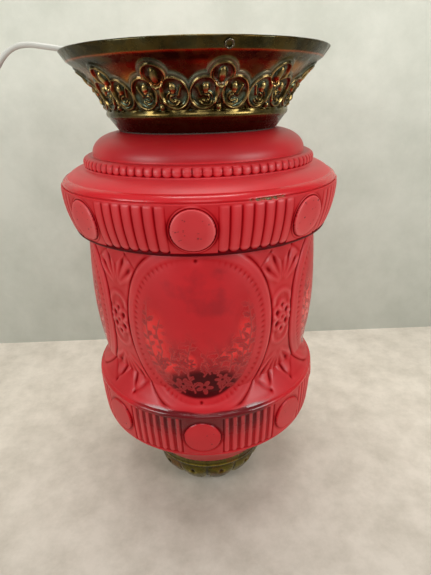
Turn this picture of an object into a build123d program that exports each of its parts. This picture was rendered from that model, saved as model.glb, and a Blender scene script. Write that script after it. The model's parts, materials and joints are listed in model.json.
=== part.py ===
"""Hanging hall lantern: a ruby glass body between a flared brass crown and a brass base cup.

The lantern stands on its base cup, with +Z up and its front towards -Y. The origin is the centre
of the foot ring. All sizes are in millimetres and all angles in degrees.
"""

import os
from math import asin, atan2, cos, degrees, pi, radians, sin, tan

from build123d import *

# Clearances: fixed pieces, a pin in its hole, and pieces that move past each other
fit_gap = 0.1
run_gap = 0.05
move_gap = 0.3

# Base cup of spun brass, with a recess in its foot for the nut
cup_height = 45.5
cup_rim_r = 61.0
cup_foot_r = 36.0
cup_foot_width = 8.0
cup_recess = 9.5
cup_bulge = 4.4
cup_wall = 1.2
cup_flange = 5.0
cup_gasket = 1.5

# Glass body: wall, then heights from the seat on the base cup upwards, then outside radii
glass_wall = 4.5
spigot_depth = 11.0
spigot_gap = 6.0
ledge_overhang = 1.0
under_rise = 48.5
under_bulge = -2.0
foot_lip_height = 4.0
low_band_height = 40.0
low_band_bulge = 0.5
ridge_round = 2.5
waist_rise = 20.5
belly_rise = 62.0
barrel_top_rise = 58.5
undercut_rise = 4.0
up_band_height = 35.0
up_band_bulge = 1.9
lip_groove = 1.0
lip_height = 4.5
shoulder_rise = 7.0
bead_height = 8.5
bead_round = 4.5
dome_step = 1.5
dome_rise = 15.8
collar_rise = 6.6
collar_lip_height = 4.2

foot_lip_r = 103.0
low_band_foot_r = 105.2
low_band_r = 107.3
waist_r = 98.2
belly_r = 104.3
barrel_top_r = 101.0
up_band_foot_r = 110.0
up_band_r = 116.8
lip_r = 115.8
shoulder_r = 111.0
bead_r = 96.6
dome_r = 88.7
dome_flat_r = 64.0
collar_r = 50.0
collar_lip = 3.5

# Barrel: four lobes about axes off the centre, round a core that shows in the valleys between them
lobe_count = 4
lobe_offset = 30.0
valley_depth = 8.5
slope_hollow = 1.0
waist_bulge = 1.5
belly_bulge = 0.6
lobe_root = 3.0
lobe_sink = 1.0

# Pressed pattern of the two bands: round discs with upright reeds between them
pattern_turn = -93.0
disc_count = 8
disc_r = 15.0
disc_rise = 0.9
disc_depth = 3.0
disc_border = 1.8
reed_count = 7
reed_groove_r = 1.3
reed_depth = 0.8
reed_margin = 2.0

# Crown of stamped brass
crown_wall = 1.5
crown_gasket = 1.0
crown_foot_r = 65.5
crown_flange = 5.5
crown_flange_height = 1.2
neck_r = 72.3
neck_cone_height = 9.4
neck_bead_height = 5.8
neck_bead = 1.9
flare_r = 98.5
flare_height = 33.0
flare_hollow = 3.6
rim_step = 1.3
rim_foot_rise = 1.0
rim_flare = 4.2
rim_height = 6.2
rim_roll_r = 0.9

# Eyelets in the rim for the three chain hooks
eyelet_count = 3
eyelet_turn = -78.5
eyelet_bore_r = 1.8
eyelet_wall = 0.5
eyelet_flange_r = 3.2
eyelet_flange = 0.5
eyelet_roll_r = 0.6
eyelet_lift = 0.15
eyelet_drop = 0.6

# Ring and turning clips that hold the glass collar in the crown
seat_height = 2.5
seat_inner_r = 55.0
clip_count = 3
clip_turn = 30.0
clip_pivot_r = 60.0
clip_width = 6.4
clip_height = 1.5
clip_screw_r = 1.5
small_head_r = 2.7
small_head_height = 1.6
screw_slot = 0.7

# Bridge across the crown, which carries the lampholder
bridge_width = 14.0
bridge_metal = 2.0
bridge_lip_gap = 1.5
bridge_rise_gap = 1.0
bridge_dip = 7.0
bridge_throat_gap = 2.0
bridge_foot = 6.5
bridge_screw_r = 1.75
bridge_head_r = 3.0

# Hollow nipple, its locknut and the cord grip above the bridge
nipple_r = 5.0
nipple_bore_r = 3.4
nipple_in_cap = 10.6
nipple_in_grip = 4.2
locknut_flats = 14.0
locknut_height = 2.5
grip_r = 7.5
grip_thread = 4.4
grip_height = 9.5
grip_screw_r = 1.5
grip_head_r = 2.3
grip_head_height = 1.6

# Bayonet lampholder, from its cap downwards
holder_neck_r = 8.5
holder_neck_height = 9.6
holder_shoulder_height = 10.0
holder_r = 19.0
holder_wall = 1.5
holder_skirt_height = 12.0
block_height = 6.5
block_boss_height = 5.5
barrel_bore_r = 11.2
barrel_wall = 1.2
barrel_height = 24.5
flange_height = 3.0
sleeve_wall = 1.4
sleeve_height = 18.5
sleeve_inset = 0.9
ring_wall = 2.3
ring_height = 10.0
ring_lip = 4.0
ring_lip_height = 2.0
ring_drop = 17.0
plunger_r = 2.1
plunger_spread = 4.2
plunger_height = 11.3
terminal_spread = 9.0
terminal_r = 1.2
terminal_head_r = 1.8
terminal_head_height = 1.7
terminal_depth = 4.0

# Bulb with a bayonet cap
bulb_r = 30.0
bulb_glass = 1.0
bulb_drop = 72.0
bulb_neck_drop = 23.0
bulb_shoulder = 21.0
bulb_neck_hollow = 1.6
bulb_neck_gap = 0.5
bulb_neck_depth = 9.0
cap_wall = 0.5
cap_height = 21.0
cap_flange = 1.9
cap_flange_height = 0.8
pin_r = 1.0
pin_reach = 2.5
pin_drop = 7.0
bayonet_turn = 20.0
insulator_height = 2.4
insulator_rise = 0.4
contact_r = 2.0
contact_height = 0.7

# Bar, stud and nut that hold the base cup to the glass
bar_width = 14.0
bar_height = 3.0
bar_overlap = 4.0
pad_height = 1.5
pad_length = 7.0
stud_r = 3.0
stud_tail = 6.4
stud_head = 6.0
stud_nut_flats = 10.0
stud_nut_height = 4.5
base_nut_r = 9.0
base_nut_height = 5.5
base_nut_grooves = 24
base_nut_groove_r = 0.6

# Two-core flex: its free run, its coil on the table, its cores and the tie round the coil
flex_r = 2.1
core_r = 1.0
strand_r = 0.5
strand_length = 7.0
coil_centre = (-256.0, -78.0)
coil_outer_r = 30.0
coil_pitch = 5.2
coil_lift = 5.0
coil_layer_turns = 1.25
coil_climb_turns = 0.5
tie_wire = 1.0
tie_width = 3.0
tie_slack = 0.6
tie_twist = 5.0
tie_turn = -50.0

# Heights worked out from the sizes above
ledge_z = cup_height + cup_gasket
spigot_z = ledge_z - spigot_depth
foot_z = ledge_z + under_rise
low_band_z = foot_z + foot_lip_height
low_ridge_z = low_band_z + low_band_height
waist_z = low_ridge_z + waist_rise
belly_z = waist_z + belly_rise
barrel_top_z = belly_z + barrel_top_rise
up_band_z = barrel_top_z + undercut_rise
up_ridge_z = up_band_z + up_band_height
lip_z = up_ridge_z + lip_groove
shoulder_z = lip_z + lip_height
bead_z = shoulder_z + shoulder_rise
dome_z = bead_z + bead_height + dome_step
dome_top_z = dome_z + dome_rise
collar_lip_z = dome_top_z + collar_rise
collar_top_z = collar_lip_z + collar_lip_height
crown_z = dome_top_z + crown_gasket
seat_z = crown_z + crown_flange_height
seat_top_z = seat_z + seat_height
neck_bead_z = crown_z + neck_cone_height
flare_z = neck_bead_z + neck_bead_height
flare_top_z = flare_z + flare_height
rim_z = flare_top_z + rim_foot_rise
rim_top_z = rim_z + rim_height
crest_z = collar_top_z + bridge_rise_gap
bridge_z = crest_z - bridge_dip
bridge_top_z = bridge_z + bridge_metal
grip_z = bridge_top_z + locknut_height
grip_top_z = grip_z + grip_height
holder_neck_z = bridge_z - holder_neck_height
holder_skirt_z = holder_neck_z - holder_shoulder_height
holder_bottom_z = holder_skirt_z - holder_skirt_height
block_z = holder_skirt_z - block_height
flange_z = block_z - flange_height
barrel_bottom_z = flange_z - barrel_height
ring_z = flange_z - ring_drop
plunger_z = flange_z - block_boss_height
cap_top_z = plunger_z - fit_gap - contact_height - insulator_rise
pin_z = cap_top_z - pin_drop
bulb_z = cap_top_z - bulb_drop
bar_z = ledge_z + glass_wall + pad_height
bar_top_z = bar_z + bar_height
coil_z = tie_wire + tie_slack / 2 + flex_r

# Radii that pieces share
spigot_r = cup_rim_r - cup_flange - spigot_gap
spigot_bore_r = spigot_r - glass_wall
ledge_r = cup_rim_r + ledge_overhang
throat_r = collar_r - glass_wall
rim_foot_r = flare_r + rim_step
rim_r = rim_foot_r + rim_flare
holder_bore_r = holder_r - holder_wall
block_r = holder_bore_r - move_gap
barrel_r = barrel_bore_r + barrel_wall
sleeve_r = block_r - sleeve_inset
cap_r = barrel_bore_r - move_gap
clip_reach = clip_pivot_r - collar_r - 1.0
bridge_inner = collar_r + collar_lip + bridge_lip_gap
bridge_reach = bridge_inner + bridge_metal + bridge_foot
bridge_screw_x = bridge_inner + bridge_metal + bridge_foot / 2


def bow(start, end, bulge):
    """An arc from start to end that stands out by bulge to the right of its way."""
    along = Vector(*end) - Vector(*start)
    right = Vector(along.Y, -along.X).normalized()
    return ThreePointArc(start, (Vector(*start) + Vector(*end)) * 0.5 + right * bulge, end)


def turned(*edges):
    """A solid turned about Z from a closed outline, drawn as radius and height."""
    return revolve(Plane.XZ * make_face(list(edges)), Axis.Z)


def turned_path(*points):
    """A solid turned about Z from a closed outline of straight lines."""
    return turned(Polyline(*points, close=True))


def tube(outer, inner, low, high):
    """A plain ring between two radii and two heights."""
    return turned_path((inner, low), (outer, low), (outer, high), (inner, high))


def post(radius, low, high, x=0.0, y=0.0):
    """An upright round bar between two heights."""
    return Pos(x, y, (low + high) / 2) * Cylinder(radius, high - low)


def around(shape, count, turn):
    """Copies of a shape that faces +X, spread evenly about Z."""
    return [Rot(0, 0, turn + 360 / count * i) * shape for i in range(count)]


def slotted_screw(shank_r, low, seat, head_r, head_height):
    """A cheese-head screw on Z with its head above the seat."""
    screw = post(shank_r, low, seat) + post(head_r, seat, seat + head_height)
    slot = Pos(0, 0, seat + head_height) * Box(2.2 * head_r, screw_slot, head_height)
    return screw - slot


def hex_nut(flats, bore_r, low, height):
    """A hexagon nut on Z."""
    blank = extrude(RegularPolygon(flats / 2, 6, major_radius=False), height)
    return Pos(0, 0, low) * blank - post(bore_r, low - 1, low + height + 1)


def band_frame(foot, top, bulge):
    """The middle of a band's outline and the angle that the band leans outwards."""
    lean = atan2(top[0] - foot[0], top[1] - foot[1])
    middle = ((foot[0] + top[0]) / 2 + bulge * cos(lean), (foot[1] + top[1]) / 2 - bulge * sin(lean))
    return middle, lean


def band_discs(foot, top, bulge):
    """The raised discs of one band."""
    (r, z), lean = band_frame(foot, top, bulge)
    face = Plane(origin=(r, 0, z), x_dir=(0, 1, 0), z_dir=(cos(lean), 0, -sin(lean)))
    disc = face * Pos(0, 0, disc_rise - disc_depth / 2) * Cylinder(disc_r, disc_depth)
    return around(disc, disc_count, pattern_turn)


def band_grooves(foot, top, bulge):
    """The grooves between the reeds of one band."""
    (r, _), lean = band_frame(foot, top, bulge)
    out = reed_groove_r - reed_depth
    low = (foot[0] + reed_margin * sin(lean) + out, foot[1] + reed_margin * cos(lean))
    high = (top[0] - reed_margin * sin(lean) + out, top[1] - reed_margin * cos(lean))
    path = Plane.XZ * bow(low, high, bulge)
    groove = sweep(Plane(origin=path @ 0, z_dir=path % 0) * Circle(reed_groove_r), path=path)
    half_disc = degrees(asin((disc_r + disc_border) / r))
    pitch = (360 / disc_count - 2 * half_disc) / reed_count
    grooves = []
    for i in range(reed_count + 1):
        grooves += around(groove, disc_count, pattern_turn + half_disc + pitch * i)
    return grooves


def barrel_path(start, depth):
    """The barrel's outline from its foot to its top, moved in by a depth."""
    waist, belly = (waist_r - depth, waist_z), (belly_r - depth, belly_z)
    return [
        bow(start, waist, -slope_hollow),
        bow(waist, belly, waist_bulge),
        bow(belly, (barrel_top_r - depth, barrel_top_z), belly_bulge),
    ]


def barrel_lobes(foot_r, foot_z, top_z, wall):
    """The four lobes of the barrel as solids, each about its own upright axis."""
    depth = lobe_offset + wall
    top_r = barrel_top_r - depth
    foot = (foot_r - depth, foot_z)
    outline = [
        Line((0, foot_z), foot),
        *barrel_path(foot, depth),
        Polyline((top_r, barrel_top_z), (top_r, top_z), (0, top_z), (0, foot_z)),
    ]
    return around(Pos(lobe_offset, 0, 0) * turned(*outline), lobe_count, pattern_turn)


def make_glass_body():
    low_foot, low_top = (low_band_foot_r, low_band_z), (low_band_r, low_ridge_z)
    up_foot, up_top = (up_band_foot_r, up_band_z), (up_band_r, up_ridge_z)
    ridge = (low_band_r - ridge_round, low_ridge_z + ridge_round)
    undercut = (up_band_foot_r - undercut_rise / 2, barrel_top_z + 1)
    bead_top = bead_z + bead_height
    outside = [
        Line((0, spigot_z), (spigot_r, spigot_z)),
        Line((spigot_r, spigot_z), (spigot_r, ledge_z)),
        Line((spigot_r, ledge_z), (ledge_r, ledge_z)),
        bow((ledge_r, ledge_z), (foot_lip_r, foot_z), under_bulge),
        bow((foot_lip_r, foot_z), (foot_lip_r, low_band_z), foot_lip_height / 3),
        Line((foot_lip_r, low_band_z), low_foot),
        bow(low_foot, low_top, low_band_bulge),
        bow(low_top, ridge, ridge_round / 4),
        *barrel_path(ridge, valley_depth),
        Line((barrel_top_r - valley_depth, barrel_top_z), undercut),
        bow(undercut, up_foot, 0.7),
        bow(up_foot, up_top, up_band_bulge),
        Line(up_top, (lip_r - lip_groove, up_ridge_z)),
        Line((lip_r - lip_groove, up_ridge_z), (lip_r, lip_z)),
        bow((lip_r, lip_z), (shoulder_r, shoulder_z), 1.0),
        bow((shoulder_r, shoulder_z), (bead_r, bead_z), 1.3),
        Line((bead_r, bead_z), (bead_r, bead_top - bead_round)),
        bow((bead_r, bead_top - bead_round), (bead_r - bead_round, bead_top), bead_round * 0.2929),
        Line((bead_r - bead_round, bead_top), (dome_r, bead_top)),
        Line((dome_r, bead_top), (dome_r, dome_z)),
        EllipticalCenterArc((dome_flat_r, dome_z), dome_r - dome_flat_r, dome_rise, 0, arc_size=90),
        Polyline(
            (dome_flat_r, dome_top_z),
            (collar_r, dome_top_z),
            (collar_r, collar_lip_z),
            (collar_r + collar_lip, collar_lip_z),
            (collar_r + collar_lip, collar_top_z),
            (0, collar_top_z),
            (0, spigot_z),
        ),
    ]
    inner_dome_r, inner_dome_rise = dome_r - glass_wall, dome_rise - glass_wall
    core_depth = valley_depth + glass_wall
    low_inner = (low_band_r - glass_wall - 1, low_ridge_z - ridge_round)
    inside = [
        Polyline(
            (0, spigot_z - 1),
            (spigot_bore_r, spigot_z - 1),
            (spigot_bore_r, ledge_z + glass_wall),
            (ledge_r - glass_wall / 2, ledge_z + glass_wall),
        ),
        bow(
            (ledge_r - glass_wall / 2, ledge_z + glass_wall),
            (foot_lip_r - 1.5 * glass_wall, foot_z + glass_wall / 2),
            under_bulge,
        ),
        Polyline(
            (foot_lip_r - 1.5 * glass_wall, foot_z + glass_wall / 2),
            (low_band_foot_r - glass_wall, low_band_z),
            low_inner,
        ),
        *barrel_path(low_inner, core_depth),
        Polyline(
            (barrel_top_r - core_depth, barrel_top_z),
            (barrel_top_r - core_depth, barrel_top_z + glass_wall),
            (up_band_foot_r - glass_wall, up_band_z + undercut_rise / 2),
            (up_band_r - glass_wall - 1, up_ridge_z - glass_wall),
            (shoulder_r - glass_wall, shoulder_z - glass_wall),
            (bead_r - glass_wall, bead_z),
            (inner_dome_r, dome_z),
        ),
        EllipticalCenterArc(
            (dome_flat_r, dome_z), inner_dome_r - dome_flat_r, inner_dome_rise, 0, arc_size=90
        ),
        Polyline(
            (dome_flat_r, dome_top_z - glass_wall),
            (throat_r, dome_top_z - glass_wall),
            (throat_r, collar_top_z + 1),
            (0, collar_top_z + 1),
            (0, spigot_z - 1),
        ),
    ]
    blank = turned(*outside) + barrel_lobes(ridge[0] - lobe_sink, ridge[1], up_band_z, 0.0)
    room_foot_r, room_foot_z = low_inner[0] + glass_wall - lobe_root, low_inner[1] + lobe_root
    room = turned(*inside) + barrel_lobes(room_foot_r, room_foot_z, up_band_z + glass_wall, glass_wall)
    glass = blank - room
    for band in ((low_foot, low_top, low_band_bulge), (up_foot, up_top, up_band_bulge)):
        glass = glass + band_discs(*band) - band_grooves(*band)
    return glass


def eyelet_frame():
    """The frame of an eyelet that faces +X: its origin on the rim's outside, its Z outwards."""
    lean = atan2(rim_flare, rim_height)
    r = rim_foot_r + rim_flare / 2 - eyelet_drop * sin(lean)
    middle = (r, 0, rim_z + rim_height / 2 - eyelet_drop * cos(lean))
    return Plane(origin=middle, x_dir=(0, 1, 0), z_dir=(cos(lean), 0, -sin(lean))), lean


def make_crown():
    foot = [(crown_foot_r, crown_z), (neck_r, neck_bead_z)]
    inner_foot_r = crown_foot_r - crown_wall
    cone = (neck_r - crown_foot_r) / neck_cone_height
    inner_flange_r = inner_foot_r + cone * crown_flange_height
    outside = [
        Line((crown_foot_r - crown_flange, crown_z), foot[0]),
        Line(*foot),
        bow(foot[1], (neck_r, flare_z), neck_bead),
        bow((neck_r, flare_z), (flare_r, flare_top_z), -flare_hollow),
        Polyline((flare_r, flare_top_z), (rim_foot_r, rim_z), (rim_r, rim_top_z)),
    ]
    inside = [
        Polyline(
            (rim_r, rim_top_z),
            (rim_r - crown_wall, rim_top_z),
            (rim_foot_r - crown_wall, rim_z),
            (flare_r - crown_wall, flare_top_z),
        ),
        bow((flare_r - crown_wall, flare_top_z), (neck_r - crown_wall, flare_z), flare_hollow),
        bow((neck_r - crown_wall, flare_z), (neck_r - crown_wall, neck_bead_z), -neck_bead),
        Polyline(
            (neck_r - crown_wall, neck_bead_z),
            (inner_flange_r, seat_z),
            (crown_foot_r - crown_flange, seat_z),
            (crown_foot_r - crown_flange, crown_z),
        ),
    ]
    crown = turned(*outside, *inside)
    roll = Pos(0, 0, rim_top_z) * Torus(rim_r - crown_wall / 2, rim_roll_r)
    frame, _ = eyelet_frame()
    hole = frame * Cylinder(eyelet_bore_r + eyelet_wall + fit_gap, 6 * crown_wall)
    return crown + roll - around(hole, eyelet_count, eyelet_turn)


def make_chain_eyelets():
    frame, lean = eyelet_frame()
    through = crown_wall * cos(lean)
    outer_r = eyelet_bore_r + eyelet_wall
    front, back = eyelet_lift, -through - eyelet_lift
    blank = post(outer_r, back, front + eyelet_roll_r)
    blank += Pos(0, 0, front + eyelet_roll_r) * Torus(eyelet_flange_r - eyelet_roll_r, eyelet_roll_r)
    blank += post(eyelet_flange_r - eyelet_wall, back - eyelet_flange, back)
    eyelet = frame * (blank - post(eyelet_bore_r, back - 2, front + 2))
    return around(eyelet, eyelet_count, eyelet_turn)


def make_seat_ring():
    cone = (neck_r - crown_foot_r) / neck_cone_height
    outer_r = crown_foot_r - crown_wall + cone * crown_flange_height - fit_gap
    ring = tube(outer_r, seat_inner_r, seat_z, seat_top_z)
    clip_hole = post(clip_screw_r + fit_gap, seat_z - 1, seat_top_z + 1, clip_pivot_r)
    bridge_hole = post(bridge_screw_r + fit_gap, seat_z - 1, seat_top_z + 1, bridge_screw_x)
    return ring - around(clip_hole, clip_count, clip_turn) - around(bridge_hole, 2, 0)


def make_clip(turn):
    """One clip, its tongue under the lip of the glass collar."""
    outline = Circle(clip_width / 2) + Pos(-clip_reach / 2, 0) * Rectangle(clip_reach, clip_width)
    outline -= Circle(clip_screw_r + run_gap)
    clip = Pos(clip_pivot_r, 0, seat_top_z + fit_gap) * extrude(outline, clip_height)
    return Rot(0, 0, turn) * clip


def make_clip_screws():
    seat = seat_top_z + 2 * fit_gap + clip_height
    screw = slotted_screw(clip_screw_r, seat_z + fit_gap, seat, small_head_r, small_head_height)
    return around(Pos(clip_pivot_r, 0, 0) * screw, clip_count, clip_turn)


def make_bridge():
    leg_out = bridge_inner + bridge_metal
    foot_top = seat_top_z + bridge_metal
    drop_out = throat_r - bridge_throat_gap
    half = [
        (drop_out, bridge_z),
        (drop_out, crest_z),
        (bridge_inner, crest_z),
        (bridge_inner, seat_top_z),
        (bridge_reach, seat_top_z),
        (bridge_reach, foot_top),
        (leg_out, foot_top),
        (leg_out, crest_z + bridge_metal),
        (drop_out - bridge_metal, crest_z + bridge_metal),
        (drop_out - bridge_metal, bridge_top_z),
    ]
    outline = half + [(-x, z) for x, z in reversed(half)]
    strap = extrude(Plane.XZ * make_face(Polyline(*outline, close=True)), bridge_width / 2, both=True)
    screw_hole = post(bridge_screw_r + fit_gap, seat_z, foot_top + 1, bridge_screw_x)
    nipple_hole = post(nipple_r + fit_gap, bridge_z - 1, bridge_top_z + 1)
    return strap - around(screw_hole, 2, 0) - nipple_hole


def make_bridge_screws():
    seat = seat_top_z + bridge_metal
    screw = slotted_screw(bridge_screw_r, seat_z + fit_gap, seat, bridge_head_r, small_head_height)
    return around(Pos(bridge_screw_x, 0, 0) * screw, 2, 0)


def make_nipple():
    return tube(nipple_r, nipple_bore_r, bridge_z - nipple_in_cap, grip_z + nipple_in_grip)


def make_cord_grip():
    body = turned_path(
        (nipple_r + fit_gap, grip_z),
        (grip_r, grip_z),
        (grip_r, grip_top_z - 1.5),
        (grip_r - 1.5, grip_top_z),
        (flex_r + fit_gap, grip_top_z),
        (flex_r + fit_gap, grip_z + grip_thread),
        (nipple_r + fit_gap, grip_z + grip_thread),
    )
    return body - grip_screw_place() * post(grip_screw_r + fit_gap, 0, 2 * grip_r)


def grip_screw_place():
    """The radial line of the screw that holds the flex, on the right-hand side."""
    height = (grip_z + grip_thread + grip_top_z) / 2
    return Plane(origin=(0, 0, height), x_dir=(0, 1, 0), z_dir=(1, 0, 0))


def make_grip_screw():
    screw = slotted_screw(grip_screw_r, flex_r + fit_gap, grip_r, grip_head_r, grip_head_height)
    return grip_screw_place() * screw


def make_holder_cap():
    outside = [
        Line((nipple_r + fit_gap, bridge_z), (holder_neck_r, bridge_z)),
        Line((holder_neck_r, bridge_z), (holder_neck_r, holder_neck_z)),
        bow((holder_neck_r, holder_neck_z), (holder_r, holder_skirt_z), -3),
        Line((holder_r, holder_skirt_z), (holder_r, holder_bottom_z)),
        Line((holder_r, holder_bottom_z), (holder_bore_r, holder_bottom_z)),
        Line((holder_bore_r, holder_bottom_z), (holder_bore_r, holder_skirt_z)),
        bow((holder_bore_r, holder_skirt_z), (nipple_r + fit_gap, holder_neck_z), 3),
        Line((nipple_r + fit_gap, holder_neck_z), (nipple_r + fit_gap, bridge_z)),
    ]
    return turned(*outside)


def make_terminal_block():
    boss_r = barrel_bore_r - move_gap
    block = post(block_r, block_z, holder_skirt_z) + post(boss_r, plunger_z + 1, block_z)
    for side in (-1, 1):
        block -= post(plunger_r + fit_gap, 0, bridge_z, side * plunger_spread)
        depth = holder_skirt_z - terminal_depth - 1
        block -= post(terminal_r + fit_gap, depth, bridge_z, 0, side * terminal_spread)
    return block


def make_terminal_screws():
    low = holder_skirt_z - terminal_depth
    screw = slotted_screw(terminal_r, low, holder_skirt_z, terminal_head_r, terminal_head_height)
    return [Pos(0, side * terminal_spread, 0) * screw for side in (-1, 1)]


def make_plunger(side):
    """One spring contact; it stands on the bulb's contact and can be pushed up."""
    return post(plunger_r, plunger_z, plunger_z + plunger_height, side * plunger_spread)


def make_holder_body():
    flange = tube(block_r, barrel_bore_r, flange_z, block_z)
    barrel = tube(barrel_r, barrel_bore_r, barrel_bottom_z, flange_z)
    sleeve = tube(sleeve_r, sleeve_r - sleeve_wall, flange_z - sleeve_height, flange_z)
    body = flange + barrel + sleeve
    half_slot = pin_r + move_gap
    margin = degrees(asin(half_slot / barrel_bore_r))
    wall = Plane.XZ * Pos((barrel_bore_r + barrel_r) / 2, 0)

    def window(low, high, start, end):
        """A window through the barrel's wall between two heights and two angles."""
        section = wall * Pos(0, (low + high) / 2) * Rectangle(3 * barrel_wall, high - low)
        return Rot(0, 0, start) * revolve(section, Axis.Z, end - start)

    arm = window(pin_z - half_slot, pin_z + half_slot, -bayonet_turn - margin, margin)
    way_in = window(
        barrel_bottom_z - 1, pin_z, -bayonet_turn - margin, -bayonet_turn + margin
    )
    return body - around(arm + way_in, 2, 0)


def make_holder_ring():
    bore_r = sleeve_r + fit_gap
    ring = tube(bore_r + ring_wall, bore_r, ring_z, ring_z + ring_height)
    return ring + tube(bore_r + ring_wall + ring_lip, bore_r, ring_z, ring_z + ring_lip_height)


def make_bulb_cap():
    flange = tube(cap_r, cap_r - cap_flange, cap_top_z - cap_flange_height, cap_top_z)
    shell = tube(cap_r, cap_r - cap_wall, cap_top_z - cap_height, cap_top_z) + flange
    out = Plane(origin=(0, 0, pin_z), x_dir=(0, 1, 0), z_dir=(1, 0, 0))
    pin = out * post(pin_r, cap_r - cap_wall / 2, cap_r + pin_reach)
    return shell + around(pin, 2, 0)


def make_bulb_insulator():
    top = cap_top_z + insulator_rise
    return post(cap_r - cap_flange - fit_gap, top - insulator_height, top)


def make_bulb_contacts():
    low = cap_top_z + insulator_rise
    return [post(contact_r, low, low + contact_height, side * plunger_spread) for side in (-1, 1)]


def make_bulb_envelope():
    neck_r = cap_r - cap_wall - bulb_neck_gap
    neck_z = cap_top_z - bulb_neck_drop
    neck_top = neck_z + bulb_neck_depth

    def skin(inset):
        """The neck and the bowl of one face of the glass, from the neck's end to the bottom."""
        bowl_r = bulb_r - inset
        shoulder_z = bulb_z + bulb_shoulder
        shoulder = ((bowl_r**2 - bulb_shoulder**2) ** 0.5, shoulder_z)
        neck = (neck_r - inset, neck_z)
        return [
            Line((neck_r - inset, neck_top), neck),
            bow(neck, shoulder, -bulb_neck_hollow),
            ThreePointArc(shoulder, (bowl_r, bulb_z), (0, bulb_z - bowl_r)),
        ]

    ends = [
        Line((0, bulb_z - bulb_r), (0, bulb_z - bulb_r + bulb_glass)),
        Line((neck_r - bulb_glass, neck_top), (neck_r, neck_top)),
    ]
    return turned(*skin(0), *skin(bulb_glass), *ends)


def make_crown_gasket():
    return tube(dome_flat_r, crown_foot_r - crown_flange - 1, dome_top_z, crown_z)


def make_cup_gasket():
    return tube(cup_rim_r, cup_rim_r - cup_flange, cup_height, ledge_z)


def make_base_cup():
    recess_r = cup_foot_r - cup_foot_width
    hole_r = stud_r + fit_gap
    rim_in = (cup_rim_r - cup_wall, cup_height - cup_wall)
    foot_in = (cup_foot_r - cup_wall / 2, cup_wall)
    return turned(
        Polyline((hole_r, cup_recess), (recess_r, cup_recess), (recess_r, 0), (cup_foot_r, 0)),
        bow((cup_foot_r, 0), (cup_rim_r, cup_height), cup_bulge),
        Polyline(
            (cup_rim_r, cup_height),
            (cup_rim_r - cup_flange, cup_height),
            (cup_rim_r - cup_flange, rim_in[1]),
            rim_in,
        ),
        bow(rim_in, foot_in, -cup_bulge),
        Polyline(
            foot_in,
            (recess_r + cup_wall, cup_wall),
            (recess_r + cup_wall, cup_recess + cup_wall),
            (hole_r, cup_recess + cup_wall),
            (hole_r, cup_recess),
        ),
    )


def make_base_bar():
    length = 2 * (spigot_r + bar_overlap)
    bar = Pos(0, 0, bar_z + bar_height / 2) * Box(length, bar_width, bar_height)
    return bar - post(stud_r + fit_gap, bar_z - 1, bar_top_z + 1)


def make_bar_pads():
    x = spigot_r + bar_overlap - pad_length / 2
    pad = Pos(x, 0, bar_z - pad_height / 2) * Box(pad_length, bar_width, pad_height)
    return around(pad, 2, 0)


def make_base_stud():
    return post(stud_r, cup_recess - stud_tail, bar_top_z + stud_head)


def make_stud_nut():
    return hex_nut(stud_nut_flats, stud_r + fit_gap, bar_top_z, stud_nut_height)


def make_base_nut():
    top = cup_recess - fit_gap
    nut = tube(base_nut_r, stud_r + run_gap, top - base_nut_height, top)
    groove = post(base_nut_groove_r, 0, cup_recess, base_nut_r)
    return nut - around(groove, base_nut_grooves, 0)


def make_flex_inner():
    return post(flex_r, holder_neck_z + 1, grip_top_z)


def make_inner_core(side):
    """One core from the end of the sheath to its terminal."""
    start = holder_neck_z + 1
    reach = terminal_spread - terminal_head_r - core_r - 0.5
    points = [
        (0, side * 1.2, start),
        (0, side * 1.2, start - 3),
        (0, side * (reach - 2), holder_skirt_z + 3.2),
        (0, side * reach, holder_skirt_z + core_r + 0.2),
    ]
    path = FilletPolyline(*points, radius=1.5)
    return sweep(Plane(origin=path @ 0, z_dir=path % 0) * Circle(core_r), path=path)


# Route of the flex from the cord grip: up and over the crown's rim, down to the table, to the coil
flex_route = [
    (0, 0, grip_top_z),
    (0, 0, grip_top_z + 8),
    (-3.6, -0.2, grip_top_z + 18.4),
    (-11.4, -0.8, grip_top_z + 26.2),
    (-24.5, -1.6, grip_top_z + 31),
    (-52, -3.6, 410.8),
    (-84, -6, 414.8),
    (-113, -8, 419.8),
    (-133, -8.6, 422.3),
    (-147.5, -8.8, 414.5),
    (-160, -9, 396),
    (-169, -8.6, 368),
    (-179.5, -8, 330),
    (-191.5, -8, 280),
    (-204, -8.6, 222),
    (-217.5, -9.6, 162),
    (-230.5, -11, 108),
    (-242, -12.6, 66),
    (-252, -14.6, 38),
    (-261, -20, 19),
    (-270, -30, 8.4),
    (-278, -43, 4.2),
    (coil_centre[0] - coil_outer_r, coil_centre[1] + 2 * flex_r + 14.5, coil_z),
    (coil_centre[0] - coil_outer_r, coil_centre[1] + 2 * flex_r, coil_z),
]


def make_flex_free():
    """The free run: straight stretches joined by arcs as large as they allow."""
    points = [Vector(*p) for p in flex_route]
    runs = [b - a for a, b in zip(points, points[1:])]
    radii = []
    for before, after in zip(runs, runs[1:]):
        turn = radians(before.get_angle(after))
        radii.append(0.45 * min(before.length, after.length) / tan(turn / 2))
    path = FilletPolyline(*points, radius=radii)
    flex = sweep(Plane(origin=path @ 0, z_dir=path % 0) * Circle(flex_r), path=path)
    plain = pi * flex_r**2 * path.length
    print("flex radii", [round(r) for r in radii])
    print(f"flex length {path.length:.1f}, volume against section times length {flex.volume / plain:.5f}")
    return flex


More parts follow.
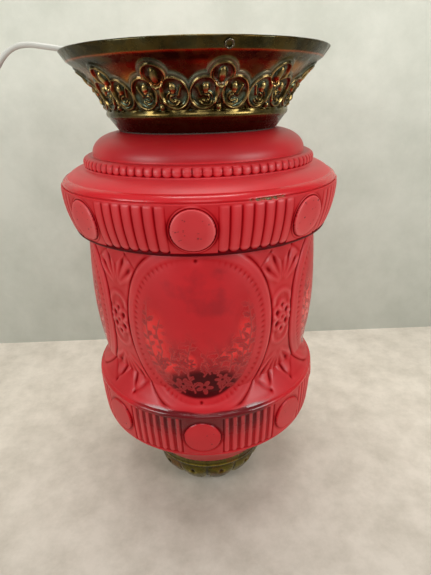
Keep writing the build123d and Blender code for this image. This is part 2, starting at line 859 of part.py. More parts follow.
def coil_state(turns):
    """A point of the coil's line and its direction, after some turns from its start."""
    inner = coil_layer_turns + coil_climb_turns
    inner_r = coil_outer_r - coil_pitch * coil_layer_turns
    if turns <= coil_layer_turns:
        r, z = coil_outer_r - coil_pitch * turns, coil_z
        radial, rise = -coil_pitch, 0.0
    elif turns < inner:
        share = (turns - coil_layer_turns) / coil_climb_turns
        dip = coil_pitch * coil_climb_turns / 4
        r, z = inner_r - dip * 4 * share * (1 - share), coil_z + coil_lift * share**2 * (3 - 2 * share)
        radial = -dip * 4 * (1 - 2 * share) / coil_climb_turns
        rise = coil_lift * 6 * share * (1 - share) / coil_climb_turns
    else:
        r, z = inner_r + coil_pitch * (turns - inner), coil_z + coil_lift
        radial, rise = coil_pitch, 0.0
    angle = pi + 2 * pi * turns
    point = Vector(coil_centre[0] + r * cos(angle), coil_centre[1] + r * sin(angle), z)
    along = 2 * pi * r
    way = Vector(
        radial * cos(angle) - along * sin(angle), radial * sin(angle) + along * cos(angle), rise
    )
    return point, way.normalized()


def biarc(start, end):
    """Two arcs that join two points of the coil and keep both directions."""
    (p, t), (q, u) = start, end
    v = q - p
    w = t + u
    b = 2 * v.dot(w)
    a = 2 * (1 - t.dot(u))
    d = (-b + (b * b + 4 * a * v.dot(v)) ** 0.5) / (2 * a)
    joint = (p + q + (t - u) * d) * 0.5
    turn = (joint - p).normalized()
    middle_way = (turn * (2 * t.dot(turn)) - t).normalized()
    return [TangentArc(p, joint, tangent=t), TangentArc(joint, q, tangent=middle_way)]


def make_flex_coil():
    """The coil: one unbroken tube that winds in on the table and out again on a second layer."""
    quarters = round(4 * (2 * coil_layer_turns + coil_climb_turns))
    states = [coil_state(i / 4) for i in range(quarters + 1)]
    first, last = states[0], states[-1]
    lead = (first[0] - Vector(0, -1, 0) * 2 * flex_r, Vector(0, -1, 0))
    edges = [Line(lead[0], first[0] - Vector(0, -1, 0) * flex_r)]
    states[0] = (first[0] - Vector(0, -1, 0) * flex_r, Vector(0, -1, 0))
    for start, end in zip(states, states[1:]):
        edges += biarc(start, end)
    edges.append(Line(last[0], last[0] + last[1] * 2 * flex_r))
    path = Wire(edges)
    coil = sweep(Plane(origin=lead[0], z_dir=lead[1]) * Circle(flex_r), path=path)
    plain = pi * flex_r**2 * path.length
    spots = [path @ (i / 600) for i in range(601)]
    apart = round(600 * 6 * flex_r / path.length)
    near = min(
        (spots[i] - spots[j]).length for i in range(601) for j in range(i + apart, 601)
    )
    print(f"coil length {path.length:.1f}, volume against section times length {coil.volume / plain:.5f}")
    print(f"coil gap to itself {near - 2 * flex_r:.2f}")
    return coil, last[0] + last[1] * 2 * flex_r, last[1]


def make_flex_end(start, way):
    """The two stripped cores beyond the sheath's end and their bare copper tips."""
    side = Vector(-way.Y, way.X, 0)
    cores, tips = [], []
    for hand in (-1, 1):
        route = [
            start + side * hand * (core_r + 0.05),
            start + way * 5 + side * hand * (core_r + 0.05),
            start + way * 14 + side * hand * 2.6 - Vector(0, 0, 2.0),
            start + way * 23 + side * hand * 5.2 - Vector(0, 0, 4.9),
            start + way * 31 + side * hand * 6.6 - Vector(0, 0, 6.3),
        ]
        path = FilletPolyline(*route, radius=[12, 20, 20])
        cores.append(sweep(Plane(origin=path @ 0, z_dir=path % 0) * Circle(core_r), path=path))
        tip = Plane(origin=path @ 1, z_dir=path % 1)
        tips.append(tip * Pos(0, 0, strand_length / 2) * Cylinder(strand_r, strand_length))
    return cores, tips


def make_coil_tie():
    """A paper-covered wire bent round the coil's turns, its two ends twisted outside."""
    inner_r = coil_outer_r - coil_pitch * (coil_layer_turns + coil_climb_turns / 4)
    low, high = inner_r - flex_r - tie_slack, coil_outer_r + flex_r + tie_slack
    top = coil_z + coil_lift + flex_r + tie_slack
    bottom = coil_z - flex_r - tie_slack / 2
    middle = Pos((low + high) / 2, (top + bottom) / 2)
    wide, tall = high - low, top - bottom
    inside = middle * RectangleRounded(wide, tall, flex_r)
    outside = middle * RectangleRounded(wide + 2 * tie_wire, tall + 2 * tie_wire, flex_r + tie_wire)
    loop = extrude(Plane.XZ * (outside - inside), tie_width / 2, both=True)
    ears = Pos(high + tie_wire + tie_twist / 2, 0, (top + bottom) / 2) * Box(tie_twist, tie_width, tie_wire)
    return Pos(*coil_centre, 0) * Rot(0, 0, tie_turn) * (loop + ears)


coil_solid, coil_end, coil_way = make_flex_coil()
end_cores, end_tips = make_flex_end(coil_end, coil_way)

nodes = {
    "base_cup": make_base_cup(),
    "cup_gasket": make_cup_gasket(),
    "base_bar": make_base_bar(),
    "bar_pads": make_bar_pads(),
    "base_stud": make_base_stud(),
    "stud_nut": make_stud_nut(),
    "base_nut": make_base_nut(),
    "glass_body": make_glass_body(),
    "crown_gasket": make_crown_gasket(),
    "crown": make_crown(),
    "chain_eyelets": make_chain_eyelets(),
    "seat_ring": make_seat_ring(),
    "clip_screws": make_clip_screws(),
    "bridge": make_bridge(),
    "bridge_screws": make_bridge_screws(),
    "hollow_nipple": make_nipple(),
    "nipple_locknut": hex_nut(locknut_flats, nipple_r + fit_gap, bridge_top_z, locknut_height),
    "cord_grip": make_cord_grip(),
    "grip_screw": make_grip_screw(),
    "lampholder_cap": make_holder_cap(),
    "terminal_block": make_terminal_block(),
    "terminal_screws": make_terminal_screws(),
    "lampholder_body": make_holder_body(),
    "lampholder_ring": make_holder_ring(),
    "bulb_cap": make_bulb_cap(),
    "bulb_insulator": make_bulb_insulator(),
    "bulb_contacts": make_bulb_contacts(),
    "bulb_envelope": make_bulb_envelope(),
    "flex_inner": make_flex_inner(),
    "inner_core_brown": make_inner_core(1),
    "inner_core_blue": make_inner_core(-1),
    "flex_free": make_flex_free(),
    "flex_coil": coil_solid,
    "flex_core_brown": end_cores[0],
    "flex_core_blue": end_cores[1],
    "flex_strands": end_tips,
    "coil_tie": make_coil_tie(),
}
for number, turn in enumerate((clip_turn + 360 / clip_count * i for i in range(clip_count)), 1):
    nodes[f"glass_clip_{number}"] = make_clip(turn)
for name, side in (("left", -1), ("right", 1)):
    nodes[f"contact_plunger_{name}"] = make_plunger(side)

os.makedirs("parts", exist_ok=True)
for name, shape in nodes.items():
    solids = shape if isinstance(shape, list) else shape.solids()
    whole = solids[0] if len(solids) == 1 else Compound(children=list(solids))
    export_step(whole, f"parts/{name}.step")
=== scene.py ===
import json
from math import asin, cos, degrees, pi, radians, sin

import bpy
import numpy as np
from mathutils import Matrix, Vector


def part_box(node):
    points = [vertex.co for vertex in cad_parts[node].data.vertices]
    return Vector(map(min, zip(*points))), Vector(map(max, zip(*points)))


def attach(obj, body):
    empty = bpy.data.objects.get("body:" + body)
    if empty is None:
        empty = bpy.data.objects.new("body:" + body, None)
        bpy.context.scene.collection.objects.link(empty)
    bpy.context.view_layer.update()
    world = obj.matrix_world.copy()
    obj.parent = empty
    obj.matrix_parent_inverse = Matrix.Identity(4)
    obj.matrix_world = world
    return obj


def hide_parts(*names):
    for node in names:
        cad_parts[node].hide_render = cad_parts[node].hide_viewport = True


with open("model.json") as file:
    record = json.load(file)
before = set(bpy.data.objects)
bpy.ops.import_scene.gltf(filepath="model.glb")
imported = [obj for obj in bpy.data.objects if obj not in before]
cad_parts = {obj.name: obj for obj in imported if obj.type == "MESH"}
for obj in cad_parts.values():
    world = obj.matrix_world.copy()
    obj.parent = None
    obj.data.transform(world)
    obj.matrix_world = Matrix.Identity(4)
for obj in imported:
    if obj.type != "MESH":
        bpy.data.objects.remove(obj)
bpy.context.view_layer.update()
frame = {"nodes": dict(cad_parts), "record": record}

nodes = frame["nodes"]
scene = bpy.context.scene
rng = np.random.default_rng(7)


# Shader helpers

def srgb(r, g, b):
    """A colour given as 0 to 255 on screen, as the linear values that a shader takes."""
    c = np.array([r, g, b]) / 255.0
    return tuple(np.where(c <= 0.04045, c / 12.92, ((c + 0.055) / 1.055) ** 2.4)) + (1.0,)


class Shader:
    """A material's node tree, with short calls for the nodes used here."""

    def __init__(self, name, **settings):
        self.material = bpy.data.materials.new(name)
        self.material.use_nodes = True
        self.tree = self.material.node_tree
        self.surface = self.tree.nodes["Principled BSDF"]
        for key, value in settings.items():
            self.surface.inputs[key.replace("_", " ")].default_value = value

    def node(self, kind, **inputs):
        made = self.tree.nodes.new(kind)
        for key, value in inputs.items():
            made.inputs[key.replace("_", " ")].default_value = value
        return made

    def link(self, start, end):
        self.tree.links.new(start, end)

    def to(self, start, name):
        self.link(start, self.surface.inputs[name])

    def feed(self, value, socket):
        """Links an output to a socket, or sets the socket to a constant."""
        if isinstance(value, bpy.types.NodeSocket):
            self.link(value, socket)
        else:
            socket.default_value = value

    def place(self):
        return self.node("ShaderNodeTexCoord").outputs["Object"]

    def along(self, axis):
        """The place along one axis, in metres."""
        n = self.node("ShaderNodeSeparateXYZ")
        self.link(self.place(), n.inputs[0])
        return n.outputs[axis]

    def noise(self, scale, detail=3.0, rough=0.55):
        n = self.node("ShaderNodeTexNoise", Scale=scale, Detail=detail, Roughness=rough)
        self.link(self.place(), n.inputs["Vector"])
        return n.outputs["Fac"]

    def attribute(self, name):
        n = self.node("ShaderNodeAttribute")
        n.attribute_name = name
        return n.outputs["Fac"]

    def ramp(self, value, *stops):
        n = self.node("ShaderNodeValToRGB")
        while len(n.color_ramp.elements) < len(stops):
            n.color_ramp.elements.new(0.5)
        for element, (at, colour) in zip(n.color_ramp.elements, stops):
            element.position = at
            element.color = colour if not isinstance(colour, float) else (colour,) * 3 + (1,)
        self.link(value, n.inputs["Fac"])
        return n.outputs["Color"]

    def mix(self, factor, first, second, blend="MIX"):
        n = self.node("ShaderNodeMix")
        n.data_type = "RGBA"
        n.blend_type = blend
        self.feed(factor, n.inputs[0])
        self.feed(first, n.inputs[6])
        self.feed(second, n.inputs[7])
        return n.outputs[2]

    def math(self, how, first, second):
        n = self.node("ShaderNodeMath")
        n.operation = how
        self.feed(first, n.inputs[0])
        self.feed(second, n.inputs[1])
        return n.outputs[0]

    def tint(self, tone, mark, strength, colour):
        """The tone moved towards a colour where the mesh carries a mark."""
        return self.mix(self.math("MULTIPLY", self.attribute(mark), strength), tone, colour)

    def bump(self, height, strength, distance):
        n = self.node("ShaderNodeBump", Strength=strength, Distance=distance)
        self.link(height, n.inputs["Height"])
        self.to(n.outputs["Normal"], "Normal")


def plain(name, colour, spread, scale, rough, metal=0.0, bump=0.1, distance=0.0002):
    """A finish whose colour and roughness drift a little over the surface."""
    s = Shader(name, Metallic=metal)
    low = tuple(c * (1 - spread) for c in colour[:3]) + (1,)
    high = tuple(min(1.0, c * (1 + spread)) for c in colour[:3]) + (1,)
    s.to(s.ramp(s.noise(scale), (0.3, low), (0.7, high)), "Base Color")
    s.to(s.ramp(s.noise(scale * 2.3), (0.3, rough * 0.8), (0.7, min(1.0, rough * 1.2))), "Roughness")
    s.bump(s.noise(scale * 6), bump, distance)
    return s.material


# Meshes of revolution with relief: lengths in millimetres, angles in degrees

LOBES = 4
COLUMNS_PER_DEGREE = 3
COLUMNS = 360 * COLUMNS_PER_DEGREE
QUARTER = COLUMNS // LOBES
azimuth = np.arange(COLUMNS) / COLUMNS_PER_DEGREE - 45.0
local = azimuth[:QUARTER]


class Outline:
    """A closed outline of radius and height, drawn from corner to corner in named stretches."""

    def __init__(self, start):
        self.at = np.array(start, float)
        self.parts, self.rows, self.count = [], {}, 0

    def keep(self, name, points, end):
        start = self.rows[name].start if name in self.rows else self.count
        self.parts.append(points)
        self.count += len(points)
        self.rows[name] = slice(start, self.count)
        self.at = np.array(end, float)

    def go(self, name, end, steps, bulge=0.0):
        """A straight stretch, or an arc that stands out by bulge to the right of its way."""
        p, q = self.at, np.array(end, float)
        part = np.arange(steps)[:, None] / steps
        if bulge == 0.0:
            self.keep(name, p + (q - p) * part, q)
            return
        half = np.hypot(*(q - p)) / 2
        along = (q - p) / (2 * half)
        right = np.array([along[1], -along[0]])
        radius = (half**2 + bulge**2) / (2 * abs(bulge))
        side = np.sign(bulge)
        centre = (p + q) / 2 + right * (bulge - side * radius)
        turn = (part - 0.5) * 2 * np.arcsin(min(1.0, half / radius))
        self.keep(name, centre + right * side * radius * np.cos(turn) + along * radius * np.sin(turn), q)

    def curl(self, name, centre, radii, start, end, steps):
        """A stretch of an ellipse, from one angle to another."""
        turn = np.radians(start + (end - start) * np.arange(steps + 1) / steps)[:, None]
        points = np.array(centre) + np.concatenate([radii[0] * np.cos(turn), radii[1] * np.sin(turn)], 1)
        self.keep(name, points[:-1], points[-1])

    def close(self):
        self.points = np.concatenate(self.parts)
        step = np.roll(self.points, -1, 0) - np.roll(self.points, 1, 0)
        step /= np.hypot(step[:, 0], step[:, 1])[:, None] + 1e-9
        self.normal = np.stack([step[:, 1], -step[:, 0]], 1)
        self.r, self.z = self.points[:, 0], self.points[:, 1]


def smooth(low, high, x):
    t = np.clip((x - low) / (high - low), 0, 1)
    return t * t * (3 - 2 * t)


def ridge(distance, width):
    return np.exp(-((distance / width) ** 2))


def wrapped(angle, period):
    """An angle moved into one period around 0."""
    return (angle + period / 2) % period - period / 2


def to_segment(x, y, p, q):
    """Distance from points to a straight stroke."""
    p, q = np.array(p, float), np.array(q, float)
    d = q - p
    t = np.clip(((x - p[0]) * d[0] + (y - p[1]) * d[1]) / (d @ d), 0, 1)
    return np.hypot(x - p[0] - t * d[0], y - p[1] - t * d[1])


def blurred(h, rows, cols):
    """A box blur; the columns run round and the rows do not."""
    total = sum(np.roll(h, k, 1) for k in range(-cols, cols + 1)) / (2 * cols + 1)
    edge = np.pad(total, ((rows, rows), (0, 0)), "edge")
    return sum(edge[k : k + len(h)] for k in range(2 * rows + 1)) / (2 * rows + 1)


def standing_out(relief, rows, cols):
    """How far the relief stands above its surroundings."""
    return relief - blurred(relief, rows, cols)


def domed(squared):
    """The height of a round button over its squared distance: 1 at its middle, 0 from its edge on."""
    return np.sqrt(np.clip(1 - squared, 0, 1))


def spun(name, outline, relief, turn, material, inset=0.0, **marks):
    """A closed mesh turned from an outline, with relief along its normals."""
    angle = np.radians(turn + azimuth)
    r = outline.r[:, None] - inset + relief * outline.normal[:, :1]
    z = outline.z[:, None] + relief * outline.normal[:, 1:]
    points = np.stack([r * np.cos(angle), r * np.sin(angle), z], -1) / 1000
    rows = len(outline.r)
    i, j = np.arange(rows)[:, None], np.arange(COLUMNS)[None, :]
    up, on = (i + 1) % rows * COLUMNS, (j + 1) % COLUMNS
    quads = np.stack(np.broadcast_arrays(i * COLUMNS + j, i * COLUMNS + on, up + on, up + j), -1)
    count = rows * COLUMNS
    mesh = bpy.data.meshes.new(name)
    mesh.vertices.add(count)
    mesh.vertices.foreach_set("co", points.astype(np.float32).ravel())
    mesh.loops.add(count * 4)
    mesh.loops.foreach_set("vertex_index", quads.astype(np.int32).ravel())
    mesh.polygons.add(count)
    mesh.polygons.foreach_set("loop_start", np.arange(count, dtype=np.int32) * 4)
    mesh.polygons.foreach_set("use_smooth", np.ones(count, bool))
    mesh.update(calc_edges=True)
    for key, values in marks.items():
        mark = mesh.attributes.new(key, "FLOAT", "POINT")
        mark.data.foreach_set("value", np.broadcast_to(values, (rows, COLUMNS)).astype(np.float32).ravel())
    mesh.materials.append(material)
    made = bpy.data.objects.new(name, mesh)
    scene.collection.objects.link(made)
    return made


# Ruby glass body: the corners of its outline on the crests, as radius and height

WALL = 4.5
BORE, NECK_R = 45.5, 50.0
SPIGOT_FOOT, NECK_LIP_FOOT, MOUTH = 36.0, 364.4, 368.6
NECK_LIP_R = 53.5
FUNNEL_FOOT, FUNNEL_TOP = (62.0, 47.0), (103.0, 95.5)
LOW_BAND_FOOT, LOW_BAND_TOP = (105.2, 99.5), (107.3, 139.5)
RIDGE = (104.8, 142.0)
WAIST, BELLY, BARREL_TOP = (98.2, 160.0), (104.3, 222.0), (101.0, 280.5)
LEDGE = (108.0, 281.5)
UP_BAND_FOOT, UP_BAND_TOP = (110.0, 284.5), (116.8, 319.5)
LIP_FOOT, LIP_TOP = (115.8, 320.5), (111.0, 325.0)
GROOVE_DEPTH = 2.0
BEAD_FOOT, BEAD_TOP = (96.6, 332.0), (92.1, 340.5)
BEAD_SHANK = 4.0
DOME_MIDDLE, DOME_RADII = (64.0, 342.0), (24.7, 15.8)
FUNNEL_HOLLOW, WAIST_BULGE, BELLY_BULGE = 2.0, 1.5, 0.6
INNER_BAND_TOP, INNER_LEDGE = (LIP_FOOT[0] - WALL, UP_BAND_TOP[1] - WALL), (105.5, 286.5)
INNER_RIDGE = (101.8, 137.0)
INNER_FUNNEL_TOP, INNER_FUNNEL_FOOT = (96.25, 97.75), (59.75, FUNNEL_FOOT[1] + WALL)


def within(corner):
    """The corner of the inner face beside an outer corner."""
    return (corner[0] - WALL, corner[1])


def glass_outline():
    dome_r, dome_z = DOME_MIDDLE
    inner_radii = (DOME_RADII[0] - WALL, DOME_RADII[1] - WALL)
    outline = Outline((BORE, SPIGOT_FOOT))
    outline.go("spigot", (NECK_R, SPIGOT_FOOT), 2)
    outline.go("spigot", (NECK_R, FUNNEL_FOOT[1]), 4)
    outline.go("spigot", FUNNEL_FOOT, 6)
    outline.go("funnel", FUNNEL_TOP, 34, -FUNNEL_HOLLOW)
    outline.go("foot", (FUNNEL_TOP[0], LOW_BAND_FOOT[1]), 9, 1.33)
    outline.go("foot", LOW_BAND_FOOT, 3)
    outline.go("low_band", LOW_BAND_TOP, 84, 0.5)
    outline.go("low_ridge", RIDGE, 8, 0.62)
    outline.go("slope", WAIST, 36, -1.0)
    outline.go("barrel", BELLY, 116, WAIST_BULGE)
    outline.go("barrel", BARREL_TOP, 110, BELLY_BULGE)
    outline.go("undercut", LEDGE, 8)
    outline.go("undercut", UP_BAND_FOOT, 6, 0.7)
    outline.go("up_band", UP_BAND_TOP, 76, 1.9)
    outline.go("groove", (UP_BAND_TOP[0] - GROOVE_DEPTH, UP_BAND_TOP[1]), 4)
    outline.go("groove", LIP_FOOT, 3)
    outline.go("lip", LIP_TOP, 12, 1.0)
    outline.go("shoulder", BEAD_FOOT, 24, 1.3)
    outline.go("beads", (BEAD_FOOT[0], BEAD_FOOT[1] + BEAD_SHANK), 12)
    outline.go("beads", BEAD_TOP, 18, 1.318)
    outline.go("step", (dome_r + DOME_RADII[0], BEAD_TOP[1]), 5)
    outline.go("step", (dome_r + DOME_RADII[0], dome_z), 3)
    outline.curl("dome", DOME_MIDDLE, DOME_RADII, 0, 90, 36)
    outline.go("collar", (NECK_R, dome_z + DOME_RADII[1]), 6)
    outline.go("collar", (NECK_R, NECK_LIP_FOOT), 4)
    outline.go("collar", (NECK_LIP_R, NECK_LIP_FOOT), 3)
    outline.go("collar", (NECK_LIP_R, MOUTH), 3)
    outline.go("inside", (BORE, MOUTH), 4)
    outline.go("inside", (BORE, dome_z + inner_radii[1]), 5)
    outline.go("inside", (dome_r, dome_z + inner_radii[1]), 6)
    outline.curl("inside", DOME_MIDDLE, inner_radii, 90, 0, 14)
    outline.go("inside", within(BEAD_FOOT), 5)
    outline.go("inside", (LIP_TOP[0] - WALL, LIP_TOP[1] - WALL), 6)
    outline.go("inside", INNER_BAND_TOP, 4)
    outline.go("inside", INNER_LEDGE, 8)
    outline.go("inside_ledge", (BARREL_TOP[0] - WALL, BARREL_TOP[1] + WALL), 5)
    outline.go("inside_barrel", within(BARREL_TOP), 4)
    outline.go("inside_barrel", within(BELLY), 12, -BELLY_BULGE)
    outline.go("inside_barrel", within(WAIST), 12, -WAIST_BULGE)
    outline.go("inside_slope", INNER_RIDGE, 8)
    outline.go("inside_foot", within(LOW_BAND_FOOT), 8)
    outline.go("inside_foot", INNER_FUNNEL_TOP, 3)
    outline.go("inside_foot", INNER_FUNNEL_FOOT, 12, FUNNEL_HOLLOW)
    outline.go("inside_foot", (BORE, INNER_FUNNEL_FOOT[1]), 5)
    outline.go("inside_foot", (BORE, SPIGOT_FOOT), 5)
    outline.close()
    return outline


glass = glass_outline()


# The four lobes of the barrel

LOBE_OFFSET, VALLEY, VALLEY_ROUND = 30.0, 8.5, 1.5
LEAST_CREST = 90.0


def valley(crest):
    """How far the four-lobed barrel lies inside its crest."""
    turn = np.radians(local)[None, :]
    lobe = LOBE_OFFSET * np.cos(turn)
    lobe = lobe + np.sqrt((crest - LOBE_OFFSET) ** 2 - (LOBE_OFFSET * np.sin(turn)) ** 2)
    core = crest - VALLEY
    return crest - 0.5 * (lobe + core + np.sqrt((lobe - core) ** 2 + VALLEY_ROUND**2))


def lobed_inset():
    """The valleys at their full depth on the barrel, running out above and below it."""
    share = np.zeros(len(glass.r))
    for name in ("barrel", "inside_barrel"):
        share[glass.rows[name]] = 1.0
    for name, values, start, end in (
        ("slope", glass.z, RIDGE[1], WAIST[1]),
        ("inside_slope", glass.z, INNER_RIDGE[1], WAIST[1]),
        ("undercut", glass.r, LEDGE[0], BARREL_TOP[0]),
        ("inside_ledge", glass.r, INNER_LEDGE[0], BARREL_TOP[0] - WALL),
    ):
        rows = glass.rows[name]
        share[rows] = np.clip((values[rows] - start) / (end - start), 0, 1)
    return share[:, None] * valley(np.maximum(glass.r, LEAST_CREST)[:, None])


# Pressed bands: reeds between discs

DISCS = 8
DISC_SPACING = 360.0 / DISCS
REEDS = 7
DISC_MARGIN = 1.8
REED_TIP = 3.4
REED_HEIGHT, REED_SINK = 1.2, 0.85
DISC_HEIGHT, DISC_SINK = 0.85, 0.3
DISC_FLATNESS = 0.8
DISC_FIELD = 3.0
BORDER_AT, BORDER_HEIGHT = 1.35, 0.55


def band_relief(v, r, half, disc_r, width):
    """Reeds and a disc on one eighth of a band; v is the height from the band's middle."""
    turn = wrapped(local[None, :], DISC_SPACING)
    x = np.radians(turn) * r
    away = np.hypot(x, v)
    disc_half = degrees(asin((disc_r + DISC_MARGIN) / r.mean()))
    pitch = (DISC_SPACING - 2 * disc_half) / REEDS
    place = (np.abs(turn) - disc_half) / pitch
    across = (place % 1) * 2 - 1
    tip = np.clip((REED_TIP + 0.2 - half - v) / REED_TIP, 0, 1)
    reed = domed(np.abs(across / width) ** 3 + tip**2)
    frame_share = smooth(-0.2, 0.6, v + half) * smooth(0.6, 2.2, half - v)
    h = np.where(place > 0, (REED_HEIGHT * reed - REED_SINK) * (0.4 + 0.6 * width) * frame_share, 0.0)
    field = smooth(disc_r + DISC_FIELD, disc_r + DISC_FIELD - 1.0, away)
    h = h * (1 - field) - DISC_SINK * field * frame_share
    border = BORDER_HEIGHT * smooth(0.5, 1.0, width)
    h += border * ridge(away - disc_r - BORDER_AT, 0.5) * smooth(0.0, 1.2, half - np.abs(v) + 0.6)
    face = smooth(disc_r + 0.25, disc_r - 0.35, away)
    return h * (1 - face) + face * (DISC_HEIGHT + DISC_FLATNESS * x**2 / (2 * r))


# Etched leaves and flowers: sprays as a path, leaf length, leaf width and leaf spacing

SPRAYS = (
    ([(-14, -54), (-29, -40), (-40, -18), (-43, 4), (-42, 22), (-39, 40)], 4.4, 1.9, 4.6),
    ([(-5, -54), (-10, -36), (-9, -16), (-5, 0), (-8, 13)], 3.8, 1.6, 4.0),
    ([(16, -54), (30, -38), (40, -18), (43, 2), (40, 28)], 4.4, 1.9, 4.8),
    ([(3, -36), (14, -18), (29, -2)], 6.4, 2.6, 5.2),
    ([(-24, -26), (-20, -8), (-25, 6)], 3.4, 1.4, 4.4),
    ([(24, -34), (26, -18), (20, -6), (24, 6)], 3.6, 1.5, 4.2),
    ([(8, -34), (4, -20), (8, -6), (3, 4)], 3.4, 1.4, 4.0),
    ([(-34, -30), (-30, -14), (-34, 2), (-30, 14)], 3.6, 1.6, 4.4),
    ([(-18, -36), (-15, -20), (-17, -6)], 3.4, 1.4, 4.2),
    ([(-12, -30), (-22, -16), (-14, -2), (-20, 10)], 4.2, 1.8, 3.8),
    ([(14, -36), (18, -22), (12, -8), (16, 4)], 4.2, 1.8, 3.8),
    ([(34, -30), (36, -14), (32, 4)], 4.0, 1.8, 4.0),
)
# Flowers as a place, a size and a number of petals
FLOWERS = (
    (-15, -45, 7.0, 5),
    (3, -48, 7.5, 5),
    (18, -41, 6.5, 6),
    (-30, -26, 5.0, 5),
    (31, -25, 5.0, 5),
    (-8, -23, 5.5, 6),
    (11, -29, 5.0, 5),
)
STEM_HALF = 0.65
FAR = 9.0


def foliage(x, v):
    """How far each point lies inside stems, leaves and flowers, and how far off a leaf's vein."""
    shape = np.full(np.broadcast(x, v).shape, -FAR)
    vein = np.full(shape.shape, FAR)

    def leaf(cx, cv, turn, length, width):
        c, s = cos(radians(turn)), sin(radians(turn))
        p = (x - cx) * c + (v - cv) * s
        q = np.abs((v - cv) * c - (x - cx) * s)
        inside = width * (1 - (p / length) ** 2) * (1 + 0.2 * np.sin(p * 2.4)) - q
        np.maximum(shape, inside, out=shape)
        np.minimum(vein, np.where(inside > 0, q, FAR), out=vein)

    def spray(points, length, width, spacing):
        for p, q in zip(points, points[1:]):
            np.maximum(shape, STEM_HALF - to_segment(x, v, p, q), out=shape)
            run = np.hypot(q[0] - p[0], q[1] - p[1])
            way = degrees(np.arctan2(q[1] - p[1], q[0] - p[0]))
            for k in range(int(run // spacing)):
                turn = way + (-1) ** k * (38 + 26 * rng.random())
                size = length * (0.7 + 0.5 * rng.random())
                part = (k + 0.5) * spacing / run
                cx = p[0] + (q[0] - p[0]) * part + size * 0.95 * cos(radians(turn))
                cv = p[1] + (q[1] - p[1]) * part + size * 0.95 * sin(radians(turn))
                leaf(cx, cv, turn, size, width * (0.8 + 0.4 * rng.random()))

    def flower(cx, cv, size, petals):
        away = np.hypot(x - cx, v - cv)
        bearing = np.arctan2(v - cv, x - cx) * petals / 2 + 0.4
        inside = size * (0.3 + 0.7 * np.abs(np.cos(bearing))) - away
        np.maximum(shape, np.where(away < size * 0.2, -0.6, inside), out=shape)

    for one in SPRAYS:
        spray(*one)
    for one in FLOWERS:
        flower(*one)
    return shape, vein


# Oval panels and the ornament in the valleys

PATTERN_R = 102.0
OVAL_A, OVAL_B, OVAL_POWER, OVAL_MIDDLE = 55.0, 62.5, 2.2, 213.0
OVAL_DOTS = 80
FIELD_A, FIELD_B = 47.5, 59.0
OUTER_LINE = 12.4
VALLEY_X = 80.1
SPANDREL = ((VALLEY_X - 66, 59.5), (VALLEY_X - 53, 50.5))
LOW_ORNAMENT, LOW_STRETCH = 30.0, 0.82
FAN_ROOT, FAN_REACH, FAN_LOBE, FAN_DROP = 31.0, 30.5, 25, 23.5
ARCH_HALF, ARCH_MIDDLE, ARCH_RISE = 12.0, 13.0, 11.5
# Rings of the knot: place from the valley's middle, and radius
KNOT = ((6.4, 5.2, 4.4), (0.0, 0.0, 2.6), (0.0, 11.0, 3.6), (10.6, 0.0, 2.6))
# Patches of the etched ground painted bright, as painted light shining through the clear glass, and one
# painted dark at the bottom, as painted shade: place and half sizes
PATCHES = ((36, -4, 9, 20), (24, -15, 9, 7), (-7, -23, 5, 9), (-24, -30, 8, 8))
LEFT_PATCH = (-34, -5, 13, 27)
DEEP_PATCH = (3, -47, 30, 19)


def oval_distance(x, v, a, b):
    """Distance from the edge of an oval with half sizes a and b, under 0 inside it."""
    e = (np.abs(x / a) ** OVAL_POWER + np.abs(v / b) ** OVAL_POWER) ** (1 / OVAL_POWER)
    return (e - 1) * np.hypot(x, v) / np.maximum(e, 1e-3)


def in_patch(x, v, patch):
    """Distance from a patch's middle, 1 at its edge."""
    return np.hypot((x - patch[0]) / patch[2], (v - patch[1]) / patch[3])


def valley_ornament(w, up):
    """Fans, arches and a knot, mirrored at the valley's middle line and at its middle height."""
    reach = np.hypot(w, up - FAN_ROOT)
    fan = np.degrees(np.arctan2(w, up - FAN_ROOT))
    lobes = np.abs(np.sin(np.radians(fan) * 180 / FAN_LOBE))
    fan_zone = smooth(72.0, 62.0, fan) * smooth(3.0, 7.0, reach)
    tips = smooth(FAN_REACH, FAN_REACH - 3.5, reach - 2.2 * lobes)
    cast = -0.35 + (1.5 * lobes**0.6 - 0.6) * fan_zone * tips
    cast -= 0.9 * ridge(reach - FAN_DROP, 3.6) * ridge(lobes, 0.55) * fan_zone
    arch = np.hypot(w / ARCH_HALF, (up - ARCH_MIDDLE) / ARCH_RISE) - 1
    cast += 0.9 * ridge(arch * 11.0, 1.5) * smooth(11.0, 14.0, up)
    for cx, cy, size in KNOT:
        away = np.hypot(w - cx, up - cy)
        cast += 1.15 * ridge(away - size, 1.3)
        cast -= 0.5 * ridge(away, size * 0.6)
    return blurred(cast, 3, 3)


